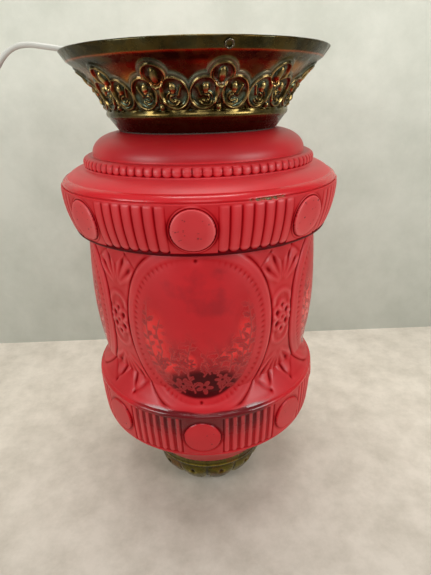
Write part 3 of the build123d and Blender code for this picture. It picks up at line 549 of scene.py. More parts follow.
def etching(x, v, fade):
    """The relief of the etched field and the marks that colour it, with painted light and painted shade in
    the clear ground.
    """
    inside = smooth(1.5, -1.5, oval_distance(x, v, FIELD_A, FIELD_B))
    leaves, vein = foliage(x, v)
    leaf = smooth(-0.3, 0.3, leaves) * (1 - 0.8 * ridge(vein, 0.35) * (leaves > 0.5))
    wave = 5 * np.sin(x * 0.16) + 3 * np.sin(x * 0.37 + v * 0.1 + 1.0)
    lower = smooth(4.0, -20.0, v + wave)
    sides = smooth(20.0, 40.0, np.abs(x) + 0.7 * wave) * smooth(44.0, 8.0, v + wave)
    shown = np.maximum(lower, sides) * inside * fade
    ground = (1 - leaf) * shown
    # Painted light shining through the clear ground
    bright = smooth(1.25, 0.55, in_patch(x, v, LEFT_PATCH))
    for patch in PATCHES:
        bright = np.maximum(bright, smooth(1.2, 0.5, in_patch(x, v, patch)))
    # Painted shade on the clear ground at the bottom of the field
    deep = smooth(1.25, 0.7, in_patch(x + 0.5 * wave, v, DEEP_PATCH))
    marks = {
        "clear": ground,
        "bright": ground * bright * (1 - deep),
        "deep": ground * deep,
        "edge_line": ridge(leaves, 0.32) * shown * (1 - 0.75 * deep),
        "veil": inside * smooth(-12.0, 16.0, v + wave) * fade,
        "leaf_tone_and_shade": leaf * shown,
    }
    return 0.12 * (leaf - 0.5) * shown, marks


def barrel_relief(z):
    """Panels, ornament and etching on one quarter of the barrel, and the marks of the etching."""
    z = z[:, None]
    x = np.radians(local)[None, :] * PATTERN_R
    v = z - OVAL_MIDDLE
    d = oval_distance(x, v, OVAL_A, OVAL_B)
    bearing = np.arctan2(v / OVAL_B, x / OVAL_A)
    dots = (0.5 + 0.5 * np.cos(bearing * OVAL_DOTS)) ** 2
    h = -0.3 * dots * ridge(d, 2.0) * smooth(0.15, 0.6, np.abs(np.cos(bearing)))
    h -= 0.8 * ridge(np.hypot(x, np.abs(v) - OVAL_B), 1.5)
    h += 0.35 * smooth(1.0, 4.5, d) * smooth(OUTER_LINE, OUTER_LINE - 3.5, d)

    w, up = VALLEY_X - np.abs(x), np.abs(v)
    up = np.where(v < -LOW_ORNAMENT, LOW_ORNAMENT + LOW_STRETCH * (up - LOW_ORNAMENT), up)
    outer_line = ridge(d - OUTER_LINE, 1.7) * smooth(66.0, 60.0, up)
    h -= 0.9 * np.maximum(outer_line, ridge(to_segment(w, up, *SPANDREL), 1.6))
    below_spandrel = SPANDREL[0][1] - up + 0.7 * (w - 14)
    column = smooth(OUTER_LINE - 0.5, OUTER_LINE + 1.5, d) * smooth(-0.5, 2.0, below_spandrel)
    h = h * (1 - 0.6 * column) + valley_ornament(w, up) * column

    fade = smooth(RIDGE[1] + 0.5, RIDGE[1] + 5.0, z) * smooth(BARREL_TOP[1], BARREL_TOP[1] - 2.5, z)
    etched, marks = etching(x, v, fade)
    return (h + etched) * fade, marks


# The whole relief of the glass and the marks of its colour and wear

PATTERN_TURN = -93.0
# Bands: name, half height, disc radius and the reeds' share of their pitch
BANDS = (("low_band", 20.0, 15.3, 0.6), ("up_band", 17.5, 15.0, 1.0))
BEADS_PER_QUARTER = 22
BEAD_LENGTH, BEAD_WIDTH = 11.07, 6.9
BEAD_HEIGHT, BEAD_SINK = 1.1, 0.8
BEAD_TIP, BEAD_TIP_LENGTH = 3.4, 2.6
FACE_LEVEL, REED_LEVEL = 0.6, 0.1
FRONT_SHIFT = 3.0
DOME_SHADE_HALF, DOME_SHADE_EDGE = 18, 52
# Painted shade and dark reflection on the front of the ridge: turns, then heights
FRONT_SHADE_MIDDLE, FRONT_SHADE_HALF, FRONT_SHADE_EDGE = 5, 22, 40
FRONT_SHADE_FROM, FRONT_SHADE_FULL, FRONT_SHADE_TOP = 108.0, 133.0, 144.2
CHIPS, CHIPS_FROM, CHIPS_SPAN, CHIP_DEPTH = 46, 22, 13, 0.5
PIT_SPREAD_TURN, PIT_SPREAD_Z, PIT_DEPTH = 6.4, 11.0, 0.35
# Pits on the discs: band, middle height, radius and number on each disc
PITTED = (("up_band", 303.0, 115.5, 16), ("low_band", 119.5, 106.7, 4))


def bead_relief(rows):
    along = np.arange(rows) * BEAD_LENGTH / rows
    across = (local * BEADS_PER_QUARTER / 90 % 1 - 0.5) * BEAD_WIDTH
    foot = np.clip((BEAD_TIP - along) / BEAD_TIP_LENGTH, 0, 1)
    bead = domed((across[None, :] / (BEAD_WIDTH / 2)) ** 2 + foot[:, None] ** 2)
    zone = smooth(0.3, 1.2, along) * smooth(9.2, 6.0, along)
    return (BEAD_HEIGHT * bead - BEAD_SINK) * zone[:, None]


def glass_relief():
    """The relief all round, with the marks of the etching."""
    relief = np.zeros((len(glass.r), QUARTER))
    for name, half, disc_r, width in BANDS:
        rows = glass.rows[name]
        height = glass.z[rows] - glass.z[rows].mean()
        v = height[:, None] * half / height.max()
        relief[rows] = band_relief(v, glass.r[rows][:, None], half, disc_r, width)
    rows = slice(glass.rows["slope"].start, glass.rows["barrel"].stop)
    relief[rows], etched = barrel_relief(glass.z[rows])
    marks = {}
    for key, values in etched.items():
        mark = np.zeros_like(relief)
        mark[rows] = values
        marks[key] = np.tile(mark, (1, LOBES))
    rows = glass.rows["beads"]
    relief[rows] = bead_relief(rows.stop - rows.start)
    return np.tile(relief, (1, LOBES)), marks


def glass_cavity(relief, outside):
    """0.5 on plain faces, more on what stands out and less in hollows; the glass's tone turns this into
    painted shade in the hollows and painted highlight on what stands out.
    """
    cavity = np.clip(standing_out(relief, 6, 8) * 0.7 + standing_out(relief, 2, 2) * 0.5, -1, 1)
    cavity = 0.5 + 0.5 * cavity * outside
    # Painted shadow in the gap under the upper band
    cavity[glass.rows["undercut"]] = 0.05
    # Painted sheen on the shoulder
    cavity[glass.rows["shoulder"]] += 0.08
    # The low band's tone flattened and painted a little darker, as painted shade
    rows = glass.rows["low_band"]
    cavity[rows] = np.where(relief[rows] > FACE_LEVEL, 0.5, 0.48 + 0.6 * (cavity[rows] - 0.5))
    rows = glass.rows["up_band"]
    cavity[rows] = np.where(relief[rows] > FACE_LEVEL, 0.4 + 0.4 * cavity[rows], cavity[rows])
    return cavity


def front_shade_patch(relief, front, outside):
    """Painted shade and painted dark reflection on the front of the ridge and the top of the low band, less
    on the reeds and none on the discs; the glass is also made glossy there.
    """
    height = glass.z[:, None]
    ragged = 2.0 * np.sin(np.radians(front) * 9.0 + 0.7) + 1.2 * np.sin(np.radians(front) * 23.0)
    front_shade_and_reflection = smooth(FRONT_SHADE_EDGE, FRONT_SHADE_HALF, np.abs(front - FRONT_SHADE_MIDDLE + ragged))
    front_shade_and_reflection = front_shade_and_reflection * smooth(FRONT_SHADE_FROM, FRONT_SHADE_FULL, height)
    front_shade_and_reflection = front_shade_and_reflection * smooth(FRONT_SHADE_TOP, FRONT_SHADE_TOP - 1.8, height + 0.3 * ragged)
    kept = 0.5 * (relief > REED_LEVEL) + 0.5 * (relief > FACE_LEVEL)
    return np.clip(front_shade_and_reflection * outside * (1.0 - kept), 0, 1)


def glass_chips(front):
    """Small chips under the lip."""
    chip = np.zeros((len(glass.r), COLUMNS))
    for _ in range(CHIPS):
        at = CHIPS_FROM + CHIPS_SPAN * rng.random()
        z = UP_BAND_TOP[1] + 0.1 + 0.9 * rng.random()
        size = 0.4 + 0.9 * rng.random()
        away = np.hypot((front - at) * 2.0, (glass.z[:, None] - z) * 1.4)
        chip = np.maximum(chip, smooth(size, size * 0.5, away))
    return chip


def glass_pits():
    """Pits on the discs."""
    pit = np.zeros((len(glass.r), COLUMNS))
    for k in range(DISCS):
        for band, middle, r, count in PITTED:
            rows = glass.rows[band]
            for _ in range(count):
                at = k * DISC_SPACING + PIT_SPREAD_TURN * (rng.random() * 2 - 1)
                z = middle + PIT_SPREAD_Z * (rng.random() * 2 - 1)
                size = 0.35 + 0.6 * rng.random() ** 3
                turn = wrapped(azimuth - at, 360.0)
                near = np.abs(turn) < 1.5
                away = np.hypot(np.radians(turn[near])[None, :] * r, glass.z[rows][:, None] - z)
                pit[rows, near] = np.maximum(pit[rows, near], smooth(size, size * 0.4, away))
    return pit


def ruby_glass():
    s = Shader("ruby_glass", Subsurface_Weight=0.12, Subsurface_Scale=0.4, IOR=1.5)
    s.surface.inputs["Subsurface Radius"].default_value = (0.012, 0.002, 0.002)
    cavity, clear = s.attribute("cavity"), s.attribute("clear")
    # The tone over the cavity: painted shade in the hollows and painted highlight on what stands out
    tone = s.ramp(
        cavity,
        (0.08, srgb(82, 0, 8)),
        (0.26, srgb(132, 0, 8)),
        (0.44, srgb(190, 14, 26)),
        (0.56, srgb(202, 38, 46)),
        (0.8, srgb(222, 92, 94)),
    )
    cloud = s.ramp(s.noise(22.0, 4.0), (0.3, (0.86, 0.8, 0.8, 1)), (0.7, (1.06, 1.06, 1.06, 1)))
    tone = s.mix(1.0, tone, cloud, "MULTIPLY")
    tone = s.tint(tone, "veil", s.ramp(s.noise(46.0, 4.0), (0.5, 0.0), (0.68, 0.4)), srgb(112, 18, 28))
    tone = s.tint(tone, "clear", 0.45, srgb(150, 14, 22))
    # Painted light shining through the clear ground
    tone = s.tint(tone, "bright", 0.9, srgb(234, 46, 46))
    # Painted shade on the clear ground at the bottom of the field
    tone = s.tint(tone, "deep", 0.92, srgb(52, 8, 12))
    # The leaves' own darker tone, and painted shade on the front of the dome
    tone = s.tint(tone, "leaf_tone_and_shade", 0.85, srgb(134, 8, 18))
    tone = s.tint(tone, "edge_line", 0.4, srgb(236, 96, 88))
    # Painted shade and dark reflection on the front of the ridge and the low band
    tone = s.tint(tone, "front_shade_and_reflection", 0.78, srgb(46, 8, 14))
    tone = s.mix(s.attribute("pit"), tone, srgb(34, 10, 12))
    chipped = s.ramp(s.noise(900.0), (0.45, srgb(70, 66, 40)), (0.6, srgb(150, 140, 96)))
    s.to(s.mix(s.attribute("chip"), tone, chipped), "Base Color")
    gloss = s.math("MAXIMUM", s.math("MULTIPLY", clear, 0.85), s.attribute("front_shade_and_reflection"))
    gloss = s.math("MAXIMUM", gloss, s.math("MULTIPLY", s.attribute("polish"), 0.6))
    s.to(s.ramp(gloss, (0.0, 0.42), (1.0, 0.1)), "Roughness")
    dulled = s.ramp(s.attribute("deep"), (0.0, 1.0), (1.0, 0.25))
    s.to(s.math("MULTIPLY", s.ramp(cavity, (0.3, 0.06), (0.52, 0.5)), dulled), "Specular IOR Level")
    s.bump(s.noise(700.0, 2.0), 0.1, 0.0002)
    return s.material


def glass_body():
    relief, marks = glass_relief()
    outside = np.zeros((len(glass.r), 1))
    outside[: glass.rows["dome"].stop] = 1.0
    front = wrapped(azimuth[None, :] + FRONT_SHIFT, 360.0)
    marks["cavity"] = glass_cavity(relief, outside)
    marks["front_shade_and_reflection"] = front_shade_patch(relief, front, outside)
    # Painted shade on the front of the dome, under the crown
    marks["leaf_tone_and_shade"][glass.rows["dome"]] = 0.5 * smooth(DOME_SHADE_EDGE, DOME_SHADE_HALF, np.abs(front))
    marks["polish"] = np.zeros_like(relief)
    for name in ("low_ridge", "lip"):
        marks["polish"][glass.rows[name]] = 1.0
    marks["chip"] = glass_chips(front)
    marks["pit"] = glass_pits()
    relief = relief - PIT_DEPTH * marks["pit"] - CHIP_DEPTH * marks["chip"]
    inset = np.tile(lobed_inset(), (1, LOBES))
    return spun("ruby_glass_body", glass, relief, PATTERN_TURN, ruby_glass(), inset, **marks)


body = glass_body()
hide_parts("glass_body")
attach(body, "lantern")


# Stamped brass crown: corners of its outer face, as radius and height

CROWN_TURN = -90.0 + 11.4
SHEET = 1.5
FLANGE_R, FLANGE_FOOT, FLANGE_TOP = 60.0, 358.8, 360.0
CONE_FOOT, INNER_CONE_FOOT = (65.5, FLANGE_FOOT), (64.87, FLANGE_TOP)
NECK_FOOT, NECK_TOP = (72.3, 368.2), (72.3, 374.0)
FLARE_TOP, RIM_FOOT, RIM_TOP = (98.5, 407.0), (99.8, 408.0), (103.95, 413.9)
INNER_RIM_TOP = (102.6, 413.6)
ROLL_MIDDLE, ROLL_R = (103.25, 414.2), 0.9
NECK_BULGE, FLARE_HOLLOW = 1.9, 3.6


def inward(corner):
    """The corner of the crown's inner face beside an outer corner."""
    return (corner[0] - SHEET, corner[1])


def crown_outline():
    outline = Outline((FLANGE_R, FLANGE_FOOT))
    outline.go("flange", CONE_FOOT, 6)
    outline.go("cone", NECK_FOOT, 14)
    outline.go("neck", NECK_TOP, 14, NECK_BULGE)
    outline.go("flare", FLARE_TOP, 110, -FLARE_HOLLOW)
    outline.go("rim", RIM_FOOT, 4)
    outline.go("rim", RIM_TOP, 14)
    outline.curl("roll", ROLL_MIDDLE, (ROLL_R, ROLL_R), -10, 250, 20)
    outline.at = np.array(INNER_RIM_TOP)
    outline.go("inside", inward(RIM_FOOT), 8)
    outline.go("inside", inward(FLARE_TOP), 3)
    outline.go("inside", inward(NECK_TOP), 40, FLARE_HOLLOW)
    outline.go("inside", inward(NECK_FOOT), 10, -NECK_BULGE)
    outline.go("inside", INNER_CONE_FOOT, 8)
    outline.go("inside", (FLANGE_R, FLANGE_TOP), 5)
    outline.go("inside", (FLANGE_R, FLANGE_FOOT), 2)
    outline.close()
    return outline


PALMETTE_SPACING = 30.0
TOP_LOBE, TOP_LOBE_R = 26.2, 7.9
SIDE_LOBE, SIDE_LOBE_R = (10.6, 12.9), 9.1
SCROLL = (9.0, 8.4)
SECOND_LINE = 2.1
# Buttons: place and half sizes
BUD, SEED, BERRY = (0.0, 25.0, 2.9, 5.8), (9.8, 15.8, 2.5, 3.4), (0.0, 1.8, 2.2, 3.0)
# Strokes: ends, height and width
STROKES = (
    ((0.0, 18.0), (0.0, 3.0), 1.2, 1.2),
    ((3.3, 19.5), (2.6, 4.5), 1.1, 0.8),
    ((12.6, 10.5), (15.4, 16.5), 1.0, 0.9),
)


def palmette(x, v):
    """One palmette: its relief, its inside, its painted orange reflections and the marks of its green lines.
    """
    across = np.abs(x)
    top = np.hypot(x, (v - TOP_LOBE) * 0.86) - TOP_LOBE_R
    side = np.hypot((across - SIDE_LOBE[0]) * 0.98, (v - SIDE_LOBE[1]) * 0.8) - SIDE_LOBE_R
    edge = np.minimum(top, side)
    inside = smooth(0.6, -0.8, edge)
    h = 2.1 * ridge(edge, 1.1) + 1.0 * ridge(edge - SECOND_LINE, 0.8) + 0.3 * inside
    bud, seed, berry = (in_patch(across, v, patch) for patch in (BUD, SEED, BERRY))
    for height, shape in ((2.6, bud), (2.2, seed), (2.0, berry)):
        h += height * domed(shape**2)
    for start, end, height, width in STROKES:
        h += height * ridge(to_segment(across, v, start, end), width)
    turn = np.degrees(np.arctan2(v - SCROLL[1], across - SCROLL[0]))
    open_side = smooth(150.0, 120.0, np.abs(turn - 200 + 360 * (turn < 0)))
    for size, height in ((4.4, 1.3), (2.2, 1.2)):
        h += height * ridge(np.hypot(across - SCROLL[0], v - SCROLL[1]) - size, 0.7) * open_side
    # Painted orange reflections on the upper lobes' edges and the lower halves of the bud and the seeds
    orange_reflection = 0.5 * ridge(edge + 1.6, 0.45) * smooth(12.0, 22.0, v)
    for shape, level in ((bud, 23.5), (seed, 15.4)):
        orange_reflection = np.maximum(orange_reflection, smooth(1.1, 0.8, shape) * smooth(level, level - 1.5, v))
    return h, inside, orange_reflection, ridge(edge - SECOND_LINE, 1.0)


LACQUER_FROM, LACQUER_FULL = 388.0, 394.0
# Heights of the painted shade under the rim, of the crease and of the line on the cone
UNDER_RIM_SHADE_FOOT, UNDER_RIM_SHADE_TOP, CREASE, CONE_LINE = 401.5, 407.4, 407.6, 364.8
DENT, DENT_AT = 0.12, 405.0


def crown_relief(outline):
    """The palmettes all round the flare, and the marks of the crown's tones, among them painted orange
    reflections and painted shade under the rim.
    """
    relief = np.zeros((len(outline.r), COLUMNS))
    marks = {key: np.zeros_like(relief) for key in ("ground", "warm", "dark", "gold", "orange_reflection", "verdigris")}
    pattern = np.zeros_like(relief)
    rows = slice(outline.rows["neck"].stop - 4, outline.rows["flare"].stop)
    run = np.hypot(*np.diff(outline.points[rows], axis=0).T)
    v = np.concatenate([[0.0], np.cumsum(run)])[:, None] - 2.0
    x = np.radians(wrapped(azimuth[None, :], PALMETTE_SPACING)) * outline.r[rows][:, None]
    h, dish, spark, green = palmette(x, v)
    relief[rows] = h * smooth(-3.0, -0.5, v)
    marks["orange_reflection"][rows] = spark
    marks["verdigris"][rows] = green * smooth(8.0, 16.0, v)
    pattern[rows] = np.clip(dish + 0.8 * (h > 0.35), 0, 1)

    rows = outline.rows["flare"]
    high = smooth(LACQUER_FROM, LACQUER_FULL, outline.z[rows])[:, None]
    marks["ground"][rows] = (1 - blurred(pattern, 2, 3)[rows]) * high
    marks["gold"][outline.rows["neck"]] = 1.0
    marks["warm"][outline.rows["cone"]] = 1.0
    marks["dark"][outline.rows["rim"]] = 0.75
    rows = slice(outline.rows["flare"].start, outline.rows["rim"].stop)
    z = outline.z[rows][:, None]
    # Painted shade on the flare under the rim
    under_rim_shade = 0.9 * smooth(UNDER_RIM_SHADE_FOOT, UNDER_RIM_SHADE_FOOT + 2.5, z) * smooth(UNDER_RIM_SHADE_TOP, UNDER_RIM_SHADE_TOP - 1.0, z)
    marks["dark"][rows] = np.maximum(marks["dark"][rows], under_rim_shade)
    # A painted orange reflection along the crease under the rim
    marks["orange_reflection"][rows] = np.maximum(marks["orange_reflection"][rows], ridge(z - CREASE, 0.45))
    rows = outline.rows["cone"]
    marks["dark"][rows] = 0.6 * ridge(outline.z[rows] - CONE_LINE, 0.5)[:, None]
    relief += DENT * np.sin(azimuth * 0.35) * ridge(outline.z - DENT_AT, 9.0)[:, None]
    marks["cavity"] = 0.5 + 0.5 * np.clip(standing_out(relief, 4, 6) * 0.55, -1, 1)
    return relief, marks


def patina_brass():
    s = Shader("patina_brass")
    cavity = s.attribute("cavity")
    tone = s.ramp(
        cavity,
        (0.22, srgb(20, 16, 9)),
        (0.42, srgb(58, 46, 23)),
        (0.56, srgb(98, 80, 42)),
        (0.78, srgb(214, 186, 124)),
    )
    tone = s.mix(s.ramp(s.noise(60.0, 5.0, 0.6), (0.42, 0.0), (0.62, 0.7)), tone, srgb(50, 42, 20))
    spotted = s.ramp(s.noise(95.0, 4.0), (0.48, 0.0), (0.62, 0.8))
    green = s.math("MULTIPLY", spotted, s.ramp(cavity, (0.4, 1.0), (0.54, 0.0)))
    green = s.math("MAXIMUM", green, s.math("MULTIPLY", s.attribute("verdigris"), 0.7))
    tone = s.mix(green, tone, srgb(104, 124, 108))
    lacquer = s.ramp(s.noise(34.0, 2.0), (0.45, srgb(106, 50, 20)), (0.62, srgb(184, 122, 58)))
    tone = s.tint(tone, "ground", s.ramp(s.noise(26.0, 3.0), (0.4, 0.25), (0.62, 1.0)), lacquer)
    tone = s.tint(tone, "warm", 0.75, srgb(80, 40, 22))
    # The tone of the dark mark: the rim's own dark band, the line on the cone and painted shade under the
    # rim
    dark_tone = s.ramp(s.noise(70.0, 4.0), (0.4, srgb(32, 33, 19)), (0.62, srgb(78, 68, 34)))
    tone = s.mix(s.attribute("dark"), tone, dark_tone)
    # Painted orange reflections
    tone = s.tint(tone, "orange_reflection", 0.6, srgb(196, 96, 44))
    rubbed = s.ramp(s.noise(50.0, 4.0), (0.4, srgb(76, 64, 33)), (0.62, srgb(136, 118, 70)))
    s.to(s.tint(tone, "gold", 0.7, rubbed), "Base Color")
    s.to(s.ramp(s.attribute("verdigris"), (0.0, 1.0), (1.0, 0.5)), "Metallic")
    s.to(s.ramp(s.noise(140.0, 4.0), (0.3, 0.16), (0.75, 0.42)), "Roughness")
    s.bump(s.noise(420.0, 3.0), 0.25, 0.0003)
    return s.material


def crown_body():
    outline = crown_outline()
    relief, marks = crown_relief(outline)
    return spun("stamped_crown", outline, relief, CROWN_TURN, patina_brass(), **marks)


crown = crown_body()
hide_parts("crown")
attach(crown, "lantern")


# Stamped brass base cup

CUP_SHEET = 1.2
STUD_HOLE_R = 3.1
FOOT_R, RECESS_R, RECESS_TOP = 36.0, 28.0, 9.5
CUP_RIM, CUP_MOUTH_R = (61.0, 45.5), 56.0
CUP_BULGE = 4.4
CUP_LOBE_SPACING = 30.0
CUP_LOBE_HEIGHT, CUP_LOBE_FULL, CUP_LOBE_TOP = 3.0, 24.0, 37.0
HEM_FOOT, HEM_RISE = 9.0, 9.0
RIM_LINE = 38.0
# Pits on and between the lobes: height, half width, half height and depth
LOBE_PIT, BETWEEN_PIT = (27.0, 2.6, 3.0, 1.9), (15.0, 1.8, 3.2, 1.2)
CUP_MOST_R = 60.9


def cup_outline():
    outline = Outline((STUD_HOLE_R, RECESS_TOP))
    outline.go("under", (RECESS_R, RECESS_TOP), 12)
    outline.go("under", (RECESS_R, 0), 6)
    outline.go("under", (FOOT_R, 0), 6)
    outline.go("bowl", CUP_RIM, 90, CUP_BULGE)
    outline.go("rim", (CUP_MOUTH_R, CUP_RIM[1]), 5)
    outline.go("rim", (CUP_MOUTH_R, CUP_RIM[1] - CUP_SHEET), 2)
    outline.go("inside", (CUP_RIM[0] - CUP_SHEET, CUP_RIM[1] - CUP_SHEET), 3)
    outline.go("inside", (FOOT_R - CUP_SHEET / 2, CUP_SHEET), 24, -CUP_BULGE)
    outline.go("inside", (RECESS_R + CUP_SHEET, CUP_SHEET), 4)
    outline.go("inside", (RECESS_R + CUP_SHEET, RECESS_TOP + CUP_SHEET), 6)
    outline.go("inside", (STUD_HOLE_R, RECESS_TOP + CUP_SHEET), 12)
    outline.go("inside", (STUD_HOLE_R, RECESS_TOP), 2)
    outline.close()
    return outline


def cup_relief(outline):
    """Arched lobes round the bowl, a line under the rim, and pits on and between the lobes."""
    relief = np.zeros((len(outline.r), COLUMNS))
    rows = outline.rows["bowl"]
    r, z = outline.r[rows][:, None], outline.z[rows][:, None]
    lobe = wrapped(azimuth[None, :], CUP_LOBE_SPACING)
    between = wrapped(azimuth[None, :] + CUP_LOBE_SPACING / 2, CUP_LOBE_SPACING)
    arch = domed((2 * lobe / CUP_LOBE_SPACING) ** 2)
    hem = HEM_FOOT + HEM_RISE * (1 - arch)
    h = CUP_LOBE_HEIGHT * arch * smooth(hem - 2.5, hem + 1.5, z) * smooth(CUP_LOBE_TOP, CUP_LOBE_FULL, z)
    h += 0.7 * ridge(z - RIM_LINE, 1.6)
    for turn, (at, half_width, half_height, depth) in ((lobe, LOBE_PIT), (between, BETWEEN_PIT)):
        h -= depth * ridge(np.hypot(np.radians(turn) * r / half_width, (z - at) / half_height), 0.8)
    relief[rows] = np.minimum(h * smooth(0.0, 4.0, z), CUP_MOST_R - r)
    return relief


def cup_brass():
    s = Shader("cup_brass", Metallic=1.0)
    tone = s.ramp(
        s.attribute("cavity"),
        (0.24, srgb(26, 20, 9)),
        (0.44, srgb(84, 76, 30)),
        (0.56, srgb(132, 122, 48)),
        (0.74, srgb(232, 214, 106)),
    )
    tone = s.mix(s.ramp(s.noise(62.0, 5.0), (0.46, 0.0), (0.6, 0.8)), tone, srgb(52, 42, 18))
    tone = s.mix(s.ramp(s.noise(44.0, 3.0), (0.56, 0.0), (0.66, 0.6)), tone, srgb(124, 74, 34))
    s.to(tone, "Base Color")
    s.to(s.ramp(s.noise(150.0, 4.0), (0.3, 0.18), (0.75, 0.42)), "Roughness")
    s.bump(s.noise(400.0, 3.0), 0.2, 0.0003)
    return s.material


def cup_body():
    outline = cup_outline()
    relief = cup_relief(outline)
    cavity = 0.5 + 0.5 * np.clip(standing_out(relief, 4, 8) * 0.8, -1, 1)
    return spun("stamped_cup", outline, relief, CROWN_TURN, cup_brass(), cavity=cavity)


cup_piece = cup_body()
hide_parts("base_cup")
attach(cup_piece, "lantern")


# Finishes of the pieces that keep their solid's shape

def pearl_bulb():
    s = Shader("pearl_bulb", Roughness=0.32, Subsurface_Weight=0.3)
    s.to(s.ramp(s.noise(30.0), (0.3, srgb(226, 226, 220)), (0.7, srgb(240, 240, 234))), "Base Color")
    return s.material


finishes = {
    "bright_brass": plain("bright_brass", srgb(196, 160, 88), 0.18, 60.0, 0.3, 1.0, 0.12),
    "steel": plain("zinc_steel", srgb(142, 144, 146), 0.12, 80.0, 0.55, 1.0, 0.12),
    "gasket": plain("dark_felt", srgb(70, 62, 54), 0.25, 300.0, 0.95, 0.0, 0.6, 0.0004),
    "dark_plastic": plain("dark_resin", srgb(34, 24, 20), 0.2, 90.0, 0.25),
    "pale_plastic": plain("pale_nylon", srgb(214, 208, 194), 0.06, 70.0, 0.45),
    "flex_sheath": plain("flex_sheath", srgb(196, 196, 188), 0.05, 60.0, 0.42, 0.0, 0.08),
    "core_brown": plain("core_brown", srgb(104, 56, 28), 0.08, 90.0, 0.4),
    "core_blue": plain("core_blue", srgb(48, 92, 176), 0.08, 90.0, 0.4),
    "copper": plain("bare_copper", srgb(206, 130, 88), 0.15, 500.0, 0.3, 1.0, 0.5, 0.0003),
    "tie": plain("paper_tie", srgb(226, 222, 210), 0.06, 120.0, 0.7),
    "bulb_glass": pearl_bulb(),
}
dark_nickel = plain("dark_nickel", srgb(104, 98, 82), 0.3, 200.0, 0.24, 1.0, 0.2)
for part in frame["record"]["subparts"]:
    material = finishes.get(part["material_slot"])
    if material and part["node"] in nodes:
        mesh = nodes[part["node"]].data
        mesh.materials.clear()
        mesh.materials.append(dark_nickel if part["node"] == "chain_eyelets" else material)


# Flex: over the rim, down to the table and into a coil

FLEX_D = 4.2
GRIP_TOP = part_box("cord_grip")[1].z * 1000
COIL = (-256.0, -78.0)
COIL_R, COIL_PITCH, COIL_LIFT, COIL_Z = 30.0, 5.2, 5.0, 3.4
LAYER, CLIMB, STEPS = 1.25, 0.5, 16
TAIL_LEAD, TAIL = 1.0, 4.2
route = [
    (0, 0, GRIP_TOP),
    (0, 0, GRIP_TOP + 8),
    (-3.6, -0.2, GRIP_TOP + 18.4),
    (-11.4, -0.8, GRIP_TOP + 26.2),
    (-24.5, -1.6, GRIP_TOP + 31),
    (-52, -3.6, 410.8),
    (-84, -6, 414.8),
    (-113, -8, 419.8),
    (-133, -8.6, 422.3),
    (-147.5, -8.8, 414.5),
    (-160, -9, 396),
    (-169, -8.6, 368),
    (-179.5, -8, 330),
    (-191.5, -8, 280),
    (-204, -8.6, 222),
    (-217.5, -9.6, 162),
    (-230.5, -11, 108),
    (-242, -12.6, 66),
    (-252, -14.6, 38),
    (-261, -20, 19),
    (-270, -30, 8.4),
    (-278, -43, 4.2),
    (COIL[0] - COIL_R, -59.3, COIL_Z),
    (COIL[0] - COIL_R, -73.8, COIL_Z),
]


def coil_point(turns):
    """A point of the coil: in on the table, up half-way through, and out on top."""
    inner, inner_r = LAYER + CLIMB, COIL_R - COIL_PITCH * LAYER
    if turns <= LAYER:
        r, z = COIL_R - COIL_PITCH * turns, COIL_Z
    elif turns < inner:
        share = (turns - LAYER) / CLIMB
        r = inner_r - COIL_PITCH * CLIMB * share * (1 - share)
        z = COIL_Z + COIL_LIFT * share**2 * (3 - 2 * share)
    else:
        r, z = inner_r + COIL_PITCH * (turns - inner), COIL_Z + COIL_LIFT
    # The spline's control points lie a little outside its curve
    r /= cos(pi / STEPS) if turns > 0 else 1.0
    angle = pi + 2 * pi * turns
    return (COIL[0] + r * cos(angle), COIL[1] + r * sin(angle), z)


coil_turns = 2 * LAYER + CLIMB
for k in range(int(coil_turns * STEPS) + 1):
    route.append(coil_point(k / STEPS))
end = coil_point(coil_turns)
route[-1] = (end[0], end[1] + TAIL_LEAD, end[2])
route.append((COIL[0] - COIL_R, end[1] - TAIL, end[2]))

curve = bpy.data.curves.new("supply_flex", "CURVE")
curve.dimensions = "3D"
curve.bevel_depth = FLEX_D / 2000
curve.bevel_resolution = 6
curve.resolution_u = 8
curve.use_fill_caps = True
spline = curve.splines.new("NURBS")
spline.points.add(len(route) - 1)
for point, place in zip(spline.points, route):
    point.co = (place[0] / 1000, place[1] / 1000, place[2] / 1000, 1.0)
spline.order_u = 3
spline.use_endpoint_u = True
curve.materials.append(finishes["flex_sheath"])
flex = bpy.data.objects.new("supply_flex", curve)
scene.collection.objects.link(flex)
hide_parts("flex_free", "flex_coil")
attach(flex, "lantern")


# Table and wall, in metres

FLOOR, BACK = -0.0002, 0.27
SPREAD, WALL_TOP = 4, 3


def stage_sheet(name, corners, finish):
    mesh = bpy.data.meshes.new(name)
    mesh.from_pydata(corners, [], [(0, 1, 2, 3)])
    mesh.materials.append(finish)
    made = bpy.data.objects.new(name, mesh)
    scene.collection.objects.link(made)


def pale_stone():
    """Mottled stone with painted shade that darkens it towards the viewer."""
    s = Shader("pale_stone", Roughness=0.55)
    veins = s.ramp(s.noise(24.0, 8.0, 0.7), (0.34, srgb(200, 192, 178)), (0.62, srgb(224, 216, 203)))
    # Painted shade towards the viewer
    depth = s.math("MULTIPLY", s.math("ADD", s.along("Y"), 0.42), 1.9)
    s.to(s.mix(1.0, veins, s.ramp(depth, (0.0, 0.42), (1.0, 1.0)), "MULTIPLY"), "Base Color")
    s.bump(s.noise(60.0, 4.0), 0.15, 0.0008)
    return s.material


